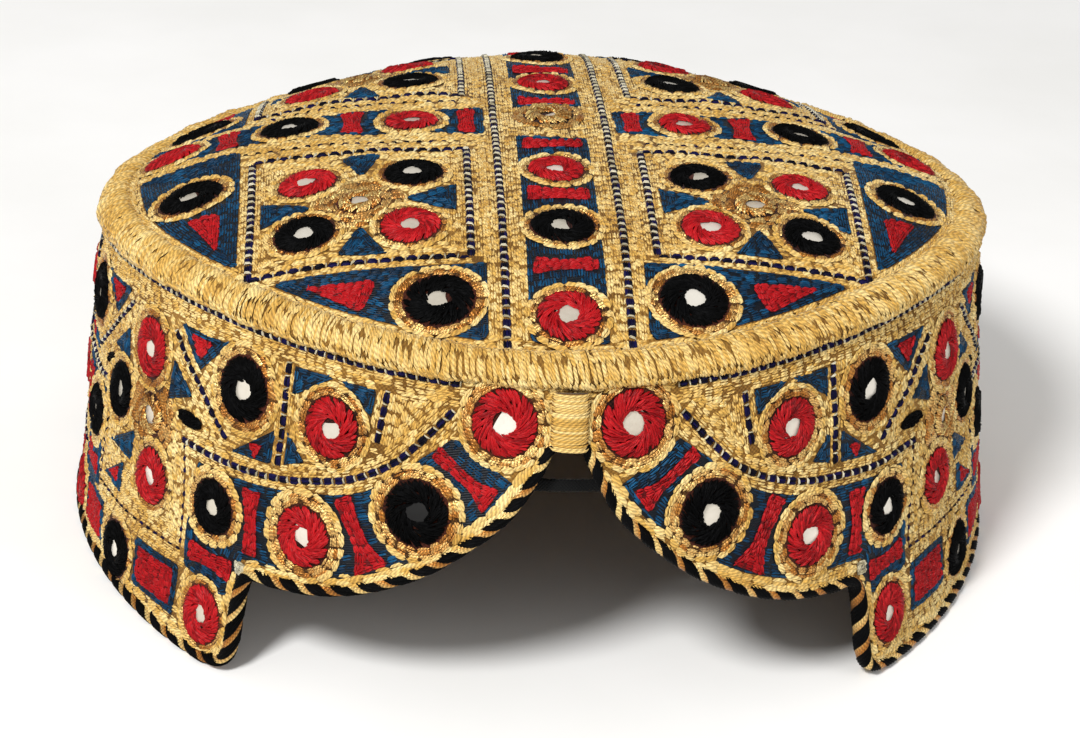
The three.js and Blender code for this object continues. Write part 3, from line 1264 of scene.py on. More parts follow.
@dataclass(frozen=True)
class BandPattern:
    """The band's pattern: half a panel as (x, y), mirrored, and repeated three times round."""

    period: float = BAND.whole / 3
    rings: tuple[Ring, ...] = (
        Ring(12.0, 5.6, Floss.RED, 5.9, 8.8, 2.05),
        Ring(45.1, 12.3, Floss.RED, 5.3, 8.0, 1.8),
        Ring(65.7, 11.0, Floss.BLACK, 5.8, 8.7, 1.9),
        Ring(27.0, 23.8, Floss.BLACK, 5.8, 8.9, 1.9),
        Ring(48.7, 33.6, Floss.RED, 5.4, 8.6, 1.8),
        Ring(70.5, 35.6, Floss.BLACK, 5.2, 7.8, 1.7),
    )
    side_rings: tuple[Ring, ...] = (
        Ring(95.8, 12.8, Floss.RED, 5.8, 8.4, 1.9),
        Ring(90.3, 37.0, Floss.RED, 5.4, 7.7, 1.8),
        Ring(107.6, 25.4, Floss.BLACK, 5.4, 7.4, 1.8),
        Ring(93.0, 25.4, Floss.ZARI, 3.9, 8.0, 1.8),
    )
    joint_rings: tuple[Ring, ...] = (
        Ring(0, 12.8, Floss.RED, 5.8, 8.4, 1.9),
        Ring(0, 37.0, Floss.RED, 5.4, 7.7, 1.8),
        Ring(14.4, 25.4, Floss.BLACK, 5.4, 7.4, 1.8),
        Ring(0, 25.4, Floss.ZARI, 3.9, 8.0, 1.8),
    )
    back_rings: tuple[Ring, ...] = (
        Ring(0, 36.5, Floss.RED, 5.6, 8.4, 1.9),
        Ring(20.5, 41.4, Floss.BLACK, 4.6, 6.9, 1.7),
    )
    lobe_blue: tuple[Point, ...] = (
        (21.0, 9.2), (26.7, 13.7), (32.0, 18.6), (37.5, 22.2), (44.0, 24.6), (54.8, 26.7), (66.0, 28.2), (76.0, 28.6),
        (77.2, 42.0), (77.0, 50.0), (66.0, 51.5), (61.9, 49.5), (62.2, 42.8), (54.4, 41.8), (47.0, 41.0), (40.0, 39.0),
        (34.0, 36.4), (28.5, 33.5), (20.0, 28.0), (15.0, 23.5), (12.0, 20.0), (9.6, 16.4),
    )  # fmt: skip
    arc: tuple[Point, ...] = (
        (21.5, 4.5), (24.5, 8.0), (28.0, 11.8), (32.5, 16.2), (38.5, 19.8), (43.5, 21.8),
        (50.0, 23.6), (56.5, 24.8), (64.0, 25.8), (70.5, 26.1), (76.0, 26.0), (81.5, 26.0),
    )  # fmt: skip
    # The ring whose mirror is drawn in the glass's darkest tone.
    black_mirror: Point = (-27.0, 23.8)
    border_start: float = 70.3
    border_pitch: float = 31.24
    border_y: float = 57.2

    def half_panel(self) -> list[Motif]:
        """The motifs of half a panel that every panel has, topmost first.

        Returns:
            The motifs.
        """
        reds = [
            hourglass((24.4, 12.2), (13.6, 19.9), (1.5, 2.7), 1.0),
            hourglass((41.6, 24.2), (34.4, 36.0), (1.9, 3.7), 1.4),
            hourglass((61.3, 28.9), (60.2, 41.4), (2.4, 1.9), 1.25),
            hourglass((64.3, 46.4), (75.8, 46.0), (2.3, 2.2), 1.4),
            ((82.0, 5.5), (75.2, 5.3), (78.5, 9.7)),
            ((59.6, 19.8), (63.0, 20.3), (61.3, 22.9)),
        ]
        ladders = [
            Line(((20.6, -0.35), (self.period / 2, -0.35)), rows=5, half_width=0.55, pitch=2.1),
            Line(self.arc, smooth=True, half_width=0.6),
            Line(((55.7, 3.0), (55.7, 22.6)), half_width=0.6),
            Line(((87.2, 6.6), (80.7, 12.2), (75.0, 16.7), (68.6, 21.8)), smooth=True, half_width=0.45),
            Line(((34.4, 3.2), (35.9, 13.4)), half_width=0.55),
            Line(((80.4, 26.6), (78.8, 40.0), (78.4, 47.2)), dashed=True, half_width=0.32),
            Line(((78.4, 47.4), (self.period / 2, 47.6)), dashed=True, half_width=0.32),
        ]
        blues = [
            ((54.3, 3.4), (45.6, 3.4), (54.3, 9.0)),
            ((36.6, 3.4), (44.0, 3.4), (37.4, 8.6)),
            ((50.0, 20.2), (54.4, 15.6), (54.4, 21.8)),
            ((85.4, 4.6), (70.8, 4.2), (78.6, 11.8)),
            ((79.6, 17.2), (86.6, 12.0), (87.8, 20.4)),
            ((57.3, 16.2), (57.3, 22.6), (67.5, 23.6)),
            self.lobe_blue,
        ]
        around = np.linspace(0, TURN, 12, endpoint=False)
        lens = tuple((79.7 + 4.2 * math.cos(a), 21.6 + 1.5 * math.sin(a)) for a in around)
        plain = [Line(((0.0, 0.7), (20.6, 0.7)), ladder=False, rows=14)]
        return [
            *self.rings,
            *[Patch(r, Floss.RED, RED_ROW) for r in reds],
            Patch(lens, Floss.BLACK, RED_ROW),
            *ladders,
            *[Patch(b, Floss.BLUE) for b in blues],
            *plain,
        ]

    def lobe_line(self) -> tuple[Point, ...]:
        """The lobe's lower edge from the middle of the panel to the step."""
        edge = BAND.finished_edge()
        return tuple(map(tuple, edge[(edge[:, 0] >= 0) & (edge[:, 0] < 60.5)][::4]))

    def motifs(self) -> list[Motif]:
        """The whole band's motifs, topmost first.

        Returns:
            The motifs.
        """
        every = [Placing((s, 1), (k * self.period, 0)) for k in (0, 1, -1, 2, -2) for s in (1.0, -1.0)]
        front = every[:2]
        back = every[2:]
        sides = [*front, Placing((1, 1), (self.period, 0)), Placing((-1, 1), (2 * self.period, 0))]
        joint = [Placing((s, 1), (1.5 * self.period, 0)) for s in (1.0, -1.0)]
        halves = [Placing((s, 1), (turn * BAND.whole, 0)) for turn in (0, 1) for s in (1.0, -1.0)]
        scrap = Patch(((60.9, 43.4), (63.4, 43.4), (63.4, 46.0), (60.9, 46.0)), Floss.CREAM, RED_ROW)
        side_blue = [((109.5, 36.4), (99.2, 31.0), (99.2, 37.4)), ((102.0, 38.6), (112.0, 44.6), (102.0, 45.4))]
        border: list[Motif] = []
        fields: list[Motif] = []
        for k in range(8):
            x = self.border_start + k * self.border_pitch
            floss = Floss.BLACK if k % 2 else Floss.RED
            border.append(Ring(x, self.border_y, floss, 5.6, 7.6, 1.7, squash=0.86 if k == 0 else 1.0))
            middle = x + self.border_pitch / 2
            y = self.border_y - 1.3
            border.append(Patch(box_corners(middle, y, 6.0, 3.7), Floss.RED, RED_ROW))
            fields.append(Patch(box_corners(middle, y, 7.4, 5.1), Floss.BLUE))
        back_extra = [
            Patch(((0, 19.5), (-4.2, 26.5), (4.2, 26.5)), Floss.RED, RED_ROW),
            Patch(((0, 15.5), (-7.2, 28.8), (7.2, 28.8)), Floss.BLUE),
            Patch(((9.8, 31.0), (9.8, 45.5), (12.6, 38.0)), Floss.BLUE),
            Line(self.lobe_line(), half_width=0.5),
        ]
        edge = Hem().line()[::3]
        found = [
            *placed(list(self.rings[:1]), every),
            *placed(list(self.side_rings), front),
            *placed(list(self.joint_rings), joint),
            *placed([*self.back_rings, *back_extra], back),
            *placed([scrap], front),
            *placed(border, halves),
            *placed([Patch(((104.0, 40.3), (109.3, 43.4), (104.0, 44.0)), Floss.RED, RED_ROW)], sides),
            *placed(self.half_panel()[1:], every, Hem()),
            *placed(fields, halves),
            *placed([Patch(b, Floss.BLUE) for b in side_blue], sides),
            Line(tuple(map(tuple, edge)), ladder=False, rows=4, first=BAND.cord_room + 2.8),
        ]
        return [replace(m, glass=0.0) if self.has_black_mirror(m) else m for m in found]

    def has_black_mirror(self, motif: Motif) -> bool:
        """Whether it is the ring whose mirror is drawn black."""
        return isinstance(motif, Ring) and np.allclose(motif.middle(), self.black_mirror)


def box_corners(x: float, y: float, half_x: float, half_y: float) -> tuple[Point, ...]:
    """The corners of an upright rectangle about a point."""
    return ((x - half_x, y - half_y), (x + half_x, y - half_y), (x + half_x, y + half_y), (x - half_x, y + half_y))


@dataclass
class Embroidery:
    """All the stitching of one cloth, the lower motifs hidden by the upper ones."""

    name: str
    chart: Chart
    motifs: list[Motif]
    seed: int
    limit: int = 24000
    sunk: float = 0.12
    rise: float = 0.42
    ring_echoes: int = 7
    passes: tuple[Point, ...] = ((0.0, 0.8), (0.33, 0.74), (0.66, 0.7))
    lots: dict[Floss, list[Stitches]] = field(default_factory=dict)
    middles: Array = field(default_factory=lambda: np.zeros((0, 2)))
    reaches: Array = field(default_factory=lambda: np.zeros(0))

    def kept(self, stitches: Stitches, above: Array, whole: bool = False) -> Stitches:
        """The stitches that are on the cloth and that no upper motif hides.

        Args:
            stitches: The stitches.
            above: Numbers of the upper motifs.
            whole: Whether they may run past the plan's seam.

        Returns:
            Those that are sewn.
        """
        probes = stitches.flat[:, 1:3]
        free = self.chart.inside(probes.reshape(-1, 2)).reshape(-1, 2).all(1)
        free &= whole or self.chart.own(probes[:, 0])
        for i in above:
            near = np.flatnonzero(free & (np.abs(probes[:, 0] - self.middles[i]).max(1) < self.reaches[i]))
            if len(near):
                free[near] &= ~self.motifs[i].covers(probes[near]).any(1)
        return stitches.kept(free)

    def reach(self, motif: Motif) -> float:
        """A distance from the motif's middle past which it hides nothing.

        Args:
            motif: The motif.

        Returns:
            The distance.
        """
        if isinstance(motif, Ring):
            return motif.outer + 3
        if isinstance(motif, Hem):
            return 1e4
        points = np.array(motif.points if isinstance(motif, Line) else motif.corners)
        return float(np.abs(points - motif.middle()).max()) + 3

    def sew(self) -> None:
        """Works out every stitch."""
        rng = np.random.default_rng(self.seed)
        self.middles = np.array([m.middle() for m in self.motifs])
        self.reaches = np.array([self.reach(m) for m in self.motifs])
        self.sew_motifs(rng)
        self.echo_lines(rng)
        self.fill(rng)

    def sew_motifs(self, rng: Random) -> None:
        """Sews every motif, rings and filled shapes only where they stand on the plan's own turn.

        Args:
            rng: The hand's unevenness.
        """
        for i, motif in enumerate(self.motifs):
            apart = np.abs(self.middles[:i] - self.middles[i]).max(1)
            above = np.flatnonzero(apart < self.reaches[:i] + self.reaches[i])
            whole = not isinstance(motif, (Line, Hem))
            if whole and not self.chart.own(motif.middle()):
                continue
            for floss, stitches in motif.sewn(rng):
                self.lots.setdefault(floss, []).append(self.kept(stitches, above, whole))

    def echo_lines(self, rng: Random) -> None:
        """Sews the gold rows that follow the lines, then rounds that follow the rings where those left room.

        Args:
            rng: The hand's unevenness.
        """
        every = np.arange(len(self.motifs))
        lines = [m for m in self.motifs if isinstance(m, Line)]
        samples = np.vstack([m.line(1.0) for m in lines])
        echoes = [e for line in lines for e in line.echoes(rng)]
        away = np.concatenate([np.full(len(s), a) for a, s in echoes])
        rows = Stitches.joined([s for _, s in echoes])
        own = distance_to(rows.centres(), samples) > away - 0.45 * GROUND_ROW.width - 0.35
        rows = rows.kept(own)
        self.lots.setdefault(Floss.GOLD, []).append(self.kept(rows, every))
        sewn = np.vstack([rows.flat[:, 1], rows.flat[:, 2]])
        rings = [m for m in self.motifs if isinstance(m, Ring)]
        circles = np.vstack([r.circle(r.outer, 60) for r in rings])
        for i in range(self.ring_echoes):
            gap = (i + 0.5) * ROW_PITCH
            rounds = [r.circle(r.outer + gap, 90, closed=False) for r in rings]
            extra = Stitches.joined([chain_row(line, GROUND_ROW, rng) for line in rounds])
            middle = extra.centres()
            own = (distance_to(middle, circles) > gap - 0.75) & (distance_to(middle, sewn) > 1.0)
            self.lots[Floss.GOLD].append(self.kept(extra.kept(own), every))

    def fill(self, rng: Random) -> None:
        """Sews straight gold rows over what is still bare, in passes that look for ever smaller gaps.

        Args:
            rng: The hand's unevenness.
        """
        every = np.arange(len(self.motifs))
        low, high = self.middles.min(0) - 12, self.middles.max(0) + 12
        for shift, gap in self.passes:
            levels = np.arange(low[1] + shift, high[1], ROW_PITCH)
            rows = [even_steps(np.array([(low[0], y), (high[0], y)]), 2.0) for y in levels]
            rows = Stitches.joined([chain_row(row, GROUND_ROW, rng) for row in rows])
            gold = Stitches.joined(self.lots[Floss.GOLD])
            spine = np.vstack([gold.flat[:, 1], gold.centres(), gold.flat[:, 2]])
            bare = distance_to(rows.centres(), spine) > gap
            self.lots[Floss.GOLD].append(self.kept(rows.kept(bare), every))

    def build(self, finishes: dict[Floss, Material]) -> None:
        """Makes the pieces, one or more for each thread.

        Args:
            finishes: The finish of each thread.
        """
        for floss, lots in self.lots.items():
            stitches = Stitches.joined(lots)
            parts = -(-len(stitches) // self.limit)
            for i in range(parts):
                part = stitches.kept(slice(i * self.limit, (i + 1) * self.limit))
                name = f"{self.name}_{floss.value}" + (f"_{i + 1}" if parts > 1 else "")
                base, out = self.chart.place(part.flat, part.lift)
                rise = np.full(part.half.shape, self.rise)
                made = thread_mesh(name, base - out * self.sunk, out, part.half, rise, part.tone, finishes[floss])
                LOG.info("%s: %d stitches", name, len(part))


@dataclass(frozen=True)
class Underlay:
    """Closely laid floss under the filled shapes, so that the cloth doesn't show between their rows."""

    name: str
    chart: Chart
    patches: tuple[Patch, ...]
    cell: float = 2.4
    margin: float = 0.6
    lift: float = 0.15
    blue_lift: float = 0.1

    def pieces(self, patch: Patch) -> tuple[Array, Array]:
        """One shape cut into triangles that follow the cloth.

        Args:
            patch: The shape.

        Returns:
            The vertices on the chart and the triangles.
        """
        outline = even_steps(patch.outline(), 1.0)
        low, high = outline.min(0), outline.max(0)
        grid = np.stack(np.meshgrid(*(np.arange(low[i], high[i], self.cell) for i in (0, 1))), -1).reshape(-1, 2)
        grid = grid[in_polygon(grid, outline)]
        grid = grid[distance_to(grid, outline) > self.margin] if len(grid) else grid
        points = [Vector(p) for p in np.vstack([outline, grid])]
        found = delaunay_2d_cdt(points, [], [list(range(len(outline)))], 1, 1e-4)
        flat, faces = np.array([tuple(p) for p in found[0]]), np.array(found[2])
        return flat, faces[self.chart.inside(flat[faces].mean(1))]

    def build(self, finishes: dict[Floss, Material]) -> None:
        """Makes one piece for each thread.

        Args:
            finishes: The finish of each thread.
        """
        for floss in Floss:
            flats, faces, count = [], [], 0
            for patch in self.patches:
                if patch.floss is floss:
                    flat, found = self.pieces(patch)
                    flats.append(flat)
                    faces.append(found + count)
                    count += len(flat)
            if not flats:
                continue
            flat, found = np.vstack(flats), np.vstack(faces)
            lift = self.blue_lift if floss is Floss.BLUE else self.lift
            points, _ = self.chart.place(flat, np.full(len(flat), lift))
            faces = [found[:, :: self.chart.facing]]
            made = new_object(f"{self.name}_laid_{floss.value}", points, faces, finishes[floss])
            # Painted shade: a tone below the colour ramp gives the laid floss the thread's deep colour, so that it
            # shows dark in the gaps between the rows.
            info = np.stack([flat[:, 0], flat[:, 1] * 2.2, np.full(len(flat), -0.4)], -1)
            mark(made, "thread", info)
            LOG.info("%s: %d triangles", made.name, len(found))


@dataclass(frozen=True)
class Mirrors:
    """The small glass mirrors of one cloth and the dark ground that shows between the rounds about them as painted
    shade.
    """

    name: str
    chart: Chart
    rings: tuple[Ring, ...]
    seed: int
    tucked: float = 0.55
    lowest: float = 1.9
    lift: float = 0.3
    tilt: float = 0.05
    uneven: float = 0.22
    dimmest: float = 0.42
    segments: int = 24

    def discs(self, radii: Array, lift: float, tilt: float, rng: Random) -> tuple[Array, list[Array]]:
        """Discs at the rings' centres.

        Args:
            radii: One radius for each ring.
            lift: Height above the cloth.
            tilt: How far each disc leans, as a slope.
            rng: Source of the leans.

        Returns:
            The vertices and the faces.
        """
        n = self.segments
        i = np.arange(n)
        j = (i + 1) % n
        angle = i * TURN / n
        circle = np.stack([np.cos(angle), np.sin(angle)], -1)
        unit = np.concatenate([np.zeros((1, 2)), circle * 0.6, circle])
        centre = np.array([r.middle() for r in self.rings])
        squash = np.array([[r.squash, 1] for r in self.rings])
        flat = centre[:, None] + unit[None] * radii[:, None, None] * squash[:, None]
        lean = rng.normal(0, tilt, (len(self.rings), 1, 2))
        height = lift + (lean * (flat - centre[:, None])).sum(-1)
        points, _ = self.chart.place(flat, height)
        points[..., 2] = np.maximum(points[..., 2], self.lowest)
        fan = np.stack([np.zeros_like(i), 1 + i, 1 + j], -1)
        rim = np.stack([1 + i, 1 + n + i, 1 + n + j, 1 + j], -1)
        start = np.arange(len(self.rings))[:, None, None] * (1 + 2 * n)
        turned = self.chart.facing
        faces = [(start + fan).reshape(-1, 3)[:, ::turned], (start + rim).reshape(-1, 4)[:, ::turned]]
        return points.reshape(-1, 3), faces

    def build(self, glass: Material, ground: Material, cloth: Material) -> None:
        """Makes the mirrors and the grounds of the satin and of the rounds.

        Args:
            glass: Finish of the mirrors.
            ground: Finish under the satin.
            cloth: Finish under the rounds.
        """
        rng = np.random.default_rng(self.seed)
        radii = np.array([r.mirror for r in self.rings]) + self.tucked
        points, faces = self.discs(radii, self.lift, self.tilt, rng)
        mirrors = new_object(f"{self.name}_mirrors", points, faces, glass, smooth=False)
        glasses = np.array([r.glass for r in self.rings])
        tone = np.clip(glasses + rng.normal(0, self.uneven, len(self.rings)), self.dimmest, 1)
        mark(mirrors, "tone", np.repeat(np.where(glasses > 0, tone, 0), 1 + 2 * self.segments))
        # Two dark ground discs, under the rounds and under the satin: where they show between the threads they are
        # painted shade.
        wide, narrow = [r.outer - 0.45 for r in self.rings], [r.satin + 0.3 + r.gap for r in self.rings]
        for part, size, lift, finish in (("round_ground", wide, 0.17, cloth), ("ring_ground", narrow, 0.2, ground)):
            points, faces = self.discs(np.array(size), lift, 0.0, rng)
            under = new_object(f"{self.name}_{part}", points, faces, finish)
        LOG.info("%s: %d mirrors", self.name, len(self.rings))


# ---------------------------------------------------------------- cloth, roll, edging, tab and tie


@dataclass(frozen=True)
class CrownCloth:
    """The crown's own cloth: a low dome whose edge turns down under the roll."""

    columns: int = 200
    rings: int = 40
    reach: float = 6.2
    hem: tuple[Point, ...] = ((-6.15, 1.6), (-2.95, 0.1))
    thickness: float = 1.6

    def build(self, finish: Material) -> None:
        """Makes the cloth, both faces and the hem.

        Args:
            finish: The cloth's finish.
        """
        angle = np.arange(self.columns) * TURN / self.columns
        radius = CAP.outline.at(angle)
        limit = (radius - self.reach) / (radius - CAP.crown_inset)
        share = np.linspace(0.01, 1, self.rings)[:, None] * limit
        flat = np.stack([np.sin(angle) * share, -np.cos(angle) * share], -1) * CROWN.radius
        top, out = CROWN.place(flat, np.zeros(flat.shape[:2]))
        under = top - out * self.thickness
        height = CAP.ladder.at(angle)
        hem = np.array([CAP.polar(angle, radius + o, height + u) for o, u in self.hem])
        turned = np.array([CAP.polar(angle, radius + o - 0.6, height + u - 1.4) for o, u in self.hem])
        rows = np.concatenate([top, hem, turned[::-1], under[::-1]])
        count = len(rows)
        faces = grid_faces(count, self.columns, closed_columns=True)
        ring = np.arange(self.columns)
        caps = np.stack([ring, ring[::-1] + (count - 1) * self.columns])
        made = new_object("crown_cloth", rows.reshape(-1, 3), [faces, caps], finish)
        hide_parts("crown")
        LOG.info("crown_cloth")


@dataclass(frozen=True)
class BandCloth:
    """The band's own cloth, from the edging up to the roll."""

    inset: float = 1.0
    top_rise: float = 0.45
    rows: int = 16
    inner_rows: int = 5
    fan_end: float = math.radians(60)
    thickness: float = 2.3

    def build(self, outside: Material, inside: Material) -> None:
        """Makes the cloth, with its outer face and its plain inner face.

        Args:
            outside: Finish of the outer face.
            inside: Finish of the inner face.
        """
        edge = EDGE.whole()
        foot = EDGE.inset(self.inset)
        walked = walk(edge)
        walked -= walked[np.argmin(np.abs(edge[:, 0]))]
        angle = edge[:, 0] / EDGE.radius
        total = np.interp(self.fan_end, angle, walked)
        top_angle = np.where(np.abs(angle) < self.fan_end, self.fan_end * walked / total, angle)
        top_height = CAP.ladder.at(top_angle) + self.top_rise
        foot_angle, foot_height = foot[:, 0] / EDGE.radius, foot[:, 1]

        def face(count: int, offset: float | None) -> Array:
            """Rows of points from the foot to the top, on the chart or standing off from the frame's face.

            Args:
                count: Count of rows.
                offset: How far it stands off, or none for the chart's face.

            Returns:
                The points.
            """
            share = np.linspace(0, 1, count + 1)[:, None]
            angles = foot_angle * (1 - share) + top_angle * share
            heights = foot_height * (1 - share) + top_height * share
            if offset is not None:
                return CAP.band_point(angles, heights, offset)
            drop = (CAP.ladder.at(angles) - heights) / BAND.squeeze(angles)
            return BAND.place(np.stack([BAND.girth_radius * angles, drop], -1), np.zeros_like(drop))[0]

        rows = np.concatenate([face(self.rows, None), face(self.inner_rows, -self.thickness)[::-1]])
        faces = grid_faces(len(rows), len(edge), closed_rows=True, closed_columns=True)
        made = new_object("band_cloth", rows.reshape(-1, 3), [faces[:, ::-1]], outside, inside)
        row_of = np.arange(len(faces)) // len(edge)
        made.data.polygons.foreach_set("material_index", (row_of > self.rows).astype(np.int32))
        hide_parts("side_band")
        LOG.info("band_cloth")


@dataclass(frozen=True)
class RimRoll:
    """The padded roll round the crown, wrapped in gold satin strands."""

    columns: int = 240
    sides: int = 20
    pitch: float = 0.5
    spine: int = 5
    parts: int = 4
    start: float = math.radians(-42)
    end: float = math.radians(222)
    lean: float = 0.8
    pad_inset: float = 0.25
    seed: int = 11

    def build(self, pad: Material, strand: Material) -> None:
        """Makes the pad and its wraps.

        Args:
            pad: Finish of the pad.
            strand: Finish of the wraps.
        """
        angle = (np.arange(self.columns) * TURN / self.columns)[:, None]
        turn = (np.arange(self.sides) * TURN / self.sides)[None]
        points = CAP.roll_point(angle, turn, -self.pad_inset)
        faces = grid_faces(self.columns, self.sides, True, True)[:, ::-1]
        made = new_object("rim_roll_pad", points.reshape(-1, 3), [faces], pad)
        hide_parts("rim_roll")
        rng = np.random.default_rng(self.seed)
        count = round(TURN * CAP.outline.mean / self.pitch)
        cuts = np.linspace(self.start, self.end, self.parts + 1)
        lots = []
        for i in range(self.parts):
            middle = np.arange(count) * TURN / count + rng.normal(0, 0.0018, count)
            first = cuts[i] + rng.normal(0, 0.22, count) * (i > 0) - 0.1
            last = cuts[i + 1] + rng.normal(0, 0.22, count) * (i < self.parts - 1) + 0.1
            share = np.linspace(0, 1, self.spine)[None]
            lean = self.lean * rng.normal(1, 0.35, (count, 1)) / CAP.outline.mean
            place = middle[:, None] + lean * (share - 0.5)
            turn = first[:, None] * (1 - share) + last[:, None] * share
            lump = 0.14 * np.sin(place * 41) + 0.12 * np.sin(place * 17 + 1) + rng.normal(0, 0.06, (count, 1))
            base = CAP.roll_point(place, turn, -0.1 + lump)
            out = CAP.roll_point(place, turn, 0.5) - CAP.roll_point(place, turn, 0)
            half = self.pitch * 0.66 * rng.normal(1, 0.18, (count, 1)) * np.ones((1, self.spine))
            rise = np.sin(math.pi * (0.08 + 0.84 * share)) * rng.normal(0.42, 0.07, (count, 1))
            lots.append((base, unit(out), half, rise))
        base, out, half, rise = (np.concatenate([lot[i] for lot in lots]) for i in range(4))
        wraps = thread_mesh("rim_roll_wraps", base, out, half, rise, rng.uniform(0.15, 0.68, len(base)), strand)
        LOG.info("rim_roll: %d wraps", count)


@dataclass(frozen=True)
class Edging:
    """The cord along the lower edge: black and gold yarns twisted round the folded cloth."""

    half_height: float = 1.0
    half_width: float = 1.72
    middle: float = -1.2
    lay: float = 10.4
    step: float = 0.42
    margin: float = 0.28
    core_inset: float = 0.1
    sides: int = 10
    yarn_half: float = 0.47
    yarn_rise: float = 0.3
    black_turns: tuple[float, ...] = (0, 28, 56, 84, 180, 208, 236, 264)
    gold_turns: tuple[float, ...] = (110, 134, 158, 290, 314, 338)

    def section(self, line: Array, inward: Array, turn: Array, grow: Array) -> Array:
        """Points of the cord's oval section.

        Args:
            line: The cord's middle line as (run, height).
            inward: Unit normals of the line into the cloth.
            turn: Angles round the section.
            grow: How far the points stand out from the core.

        Returns:
            The points in space.
        """
        in_plane = (self.half_height + grow) * np.cos(turn)
        out = (self.half_width + grow) * np.sin(turn)
        run = line[:, 0] + inward[:, 0] * in_plane
        height = np.maximum(line[:, 1] + inward[:, 1] * in_plane, 0.05)
        return CAP.band_point(run / EDGE.radius, height, self.middle + out)

    def build(self, core: Material, black: Material, gold: Material) -> None:
        """Makes the core and the yarns.

        Args:
            core: Finish of the core.
            black: Finish of the black yarn.
            gold: Finish of the gold yarn.
        """
        fine = replace(EDGE, step=self.step)
        line = fine.inset(self.half_height + self.margin)
        inward = fine.inward(fine.whole())
        count = len(line)
        turn = np.arange(self.sides) * TURN / self.sides
        points = np.stack([self.section(line[::3], inward[::3], t, -self.core_inset) for t in turn], 1)
        faces = grid_faces(len(points), self.sides, True, True)[:, ::-1]
        tube = new_object("edge_core", points.reshape(-1, 3), [faces], core)
        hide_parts("edge_cord")
        twists = round(count * self.step / self.lay)
        share = np.arange(count) / count
        yarns = (
            ("edge_black_yarn", self.black_turns, black, 0.12),
            ("edge_gold_yarn", self.gold_turns, gold, -0.02),
        )
        for name, turns, finish, bulge in yarns:
            base, out = [], []
            for degrees in turns:
                angle = math.radians(degrees) + TURN * twists * share
                base.append(self.section(line, inward, angle, bulge - self.core_inset))
                out.append(self.section(line, inward, angle, 0.4) - self.section(line, inward, angle, 0.0))
            spine, normal = np.array(base), unit(np.array(out))
            half = np.full(spine.shape[:2], self.yarn_half)
            rise = np.full(spine.shape[:2], self.yarn_rise)
            tone = np.linspace(0.2, 0.9, len(turns))
            made = thread_mesh(name, spine, normal, half, rise, tone, finish, closed=True)
            LOG.info("%s: %d yarns", name, len(turns))


@dataclass(frozen=True)
class FrontTab:
    """The satin bar over the bridge of cloth above the arch."""

    half_width: float = 3.5
    low: float = 56.3
    high: float = 66.3
    pitch: float = 0.4
    proud: float = 1.75
    roundness: float = 2.6
    spine: int = 10
    seed: int = 5

    def swell(self, share: Array) -> Array:
        """How far the pad stands out at a share of its half width."""
        return self.proud * np.sqrt(np.maximum(0, 1 - np.abs(share) ** self.roundness))

    def build(self, pad: Material, strand: Material) -> None:
        """Makes the pad and its satin strands.

        Args:
            pad: Finish of the pad.
            strand: Finish of the strands.
        """
        share = np.linspace(-1, 1, 13)
        height = np.linspace(self.low + 0.3, self.high - 0.3, 9)[:, None]
        swell = np.maximum(0.3, self.swell(share) - 0.1)
        angle = share * (self.half_width - 0.3) / EDGE.radius
        front = CAP.band_point(angle + 0 * height, height + 0 * share, swell + 0 * height)
        back = CAP.band_point(angle + 0 * height, height + 0 * share, 0.2 + 0 * height + 0 * share)
        rows = np.concatenate([front, back[::-1]])
        faces = grid_faces(len(rows), len(share), closed_rows=True)[:, ::-1]
        ends = self.ends(len(height), len(share))
        made = new_object("front_tab_pad", rows.reshape(-1, 3), [faces, *ends], pad)
        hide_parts("front_tab")
        rng = np.random.default_rng(self.seed)
        count = round((self.high - self.low) / self.pitch)
        level = self.low + (np.arange(count) + 0.5) * self.pitch + rng.normal(0, 0.04, count)
        share = np.linspace(-1, 1, self.spine)[None]
        width = self.half_width + rng.normal(0, 0.12, (count, 1))
        off = 0.15 + self.swell(share) + rng.normal(0, 0.04, (count, 1))
        slope = rng.normal(0, 0.1, (count, 1)) * share
        place = share * width / EDGE.radius
        base = CAP.band_point(place, level[:, None] + slope, off)
        out = CAP.band_point(place, level[:, None] + slope, off + 1) - base
        half = np.full(base.shape[:2], self.pitch * 0.66)
        rise = np.full(base.shape[:2], 0.28)
        wraps = thread_mesh("front_tab_satin", base, out, half, rise, rng.uniform(0, 0.6, count), strand)
        LOG.info("front_tab: %d strands", count)

    def ends(self, levels: int, columns: int) -> list[Array]:
        """The pad's two side faces.

        Args:
            levels: Count of rows.
            columns: Count of columns.

        Returns:
            The faces, one array for each end.
        """
        rows = 2 * levels
        left = np.array([[r * columns for r in range(rows)]])
        right = left[:, ::-1] + columns - 1
        return [left, right]


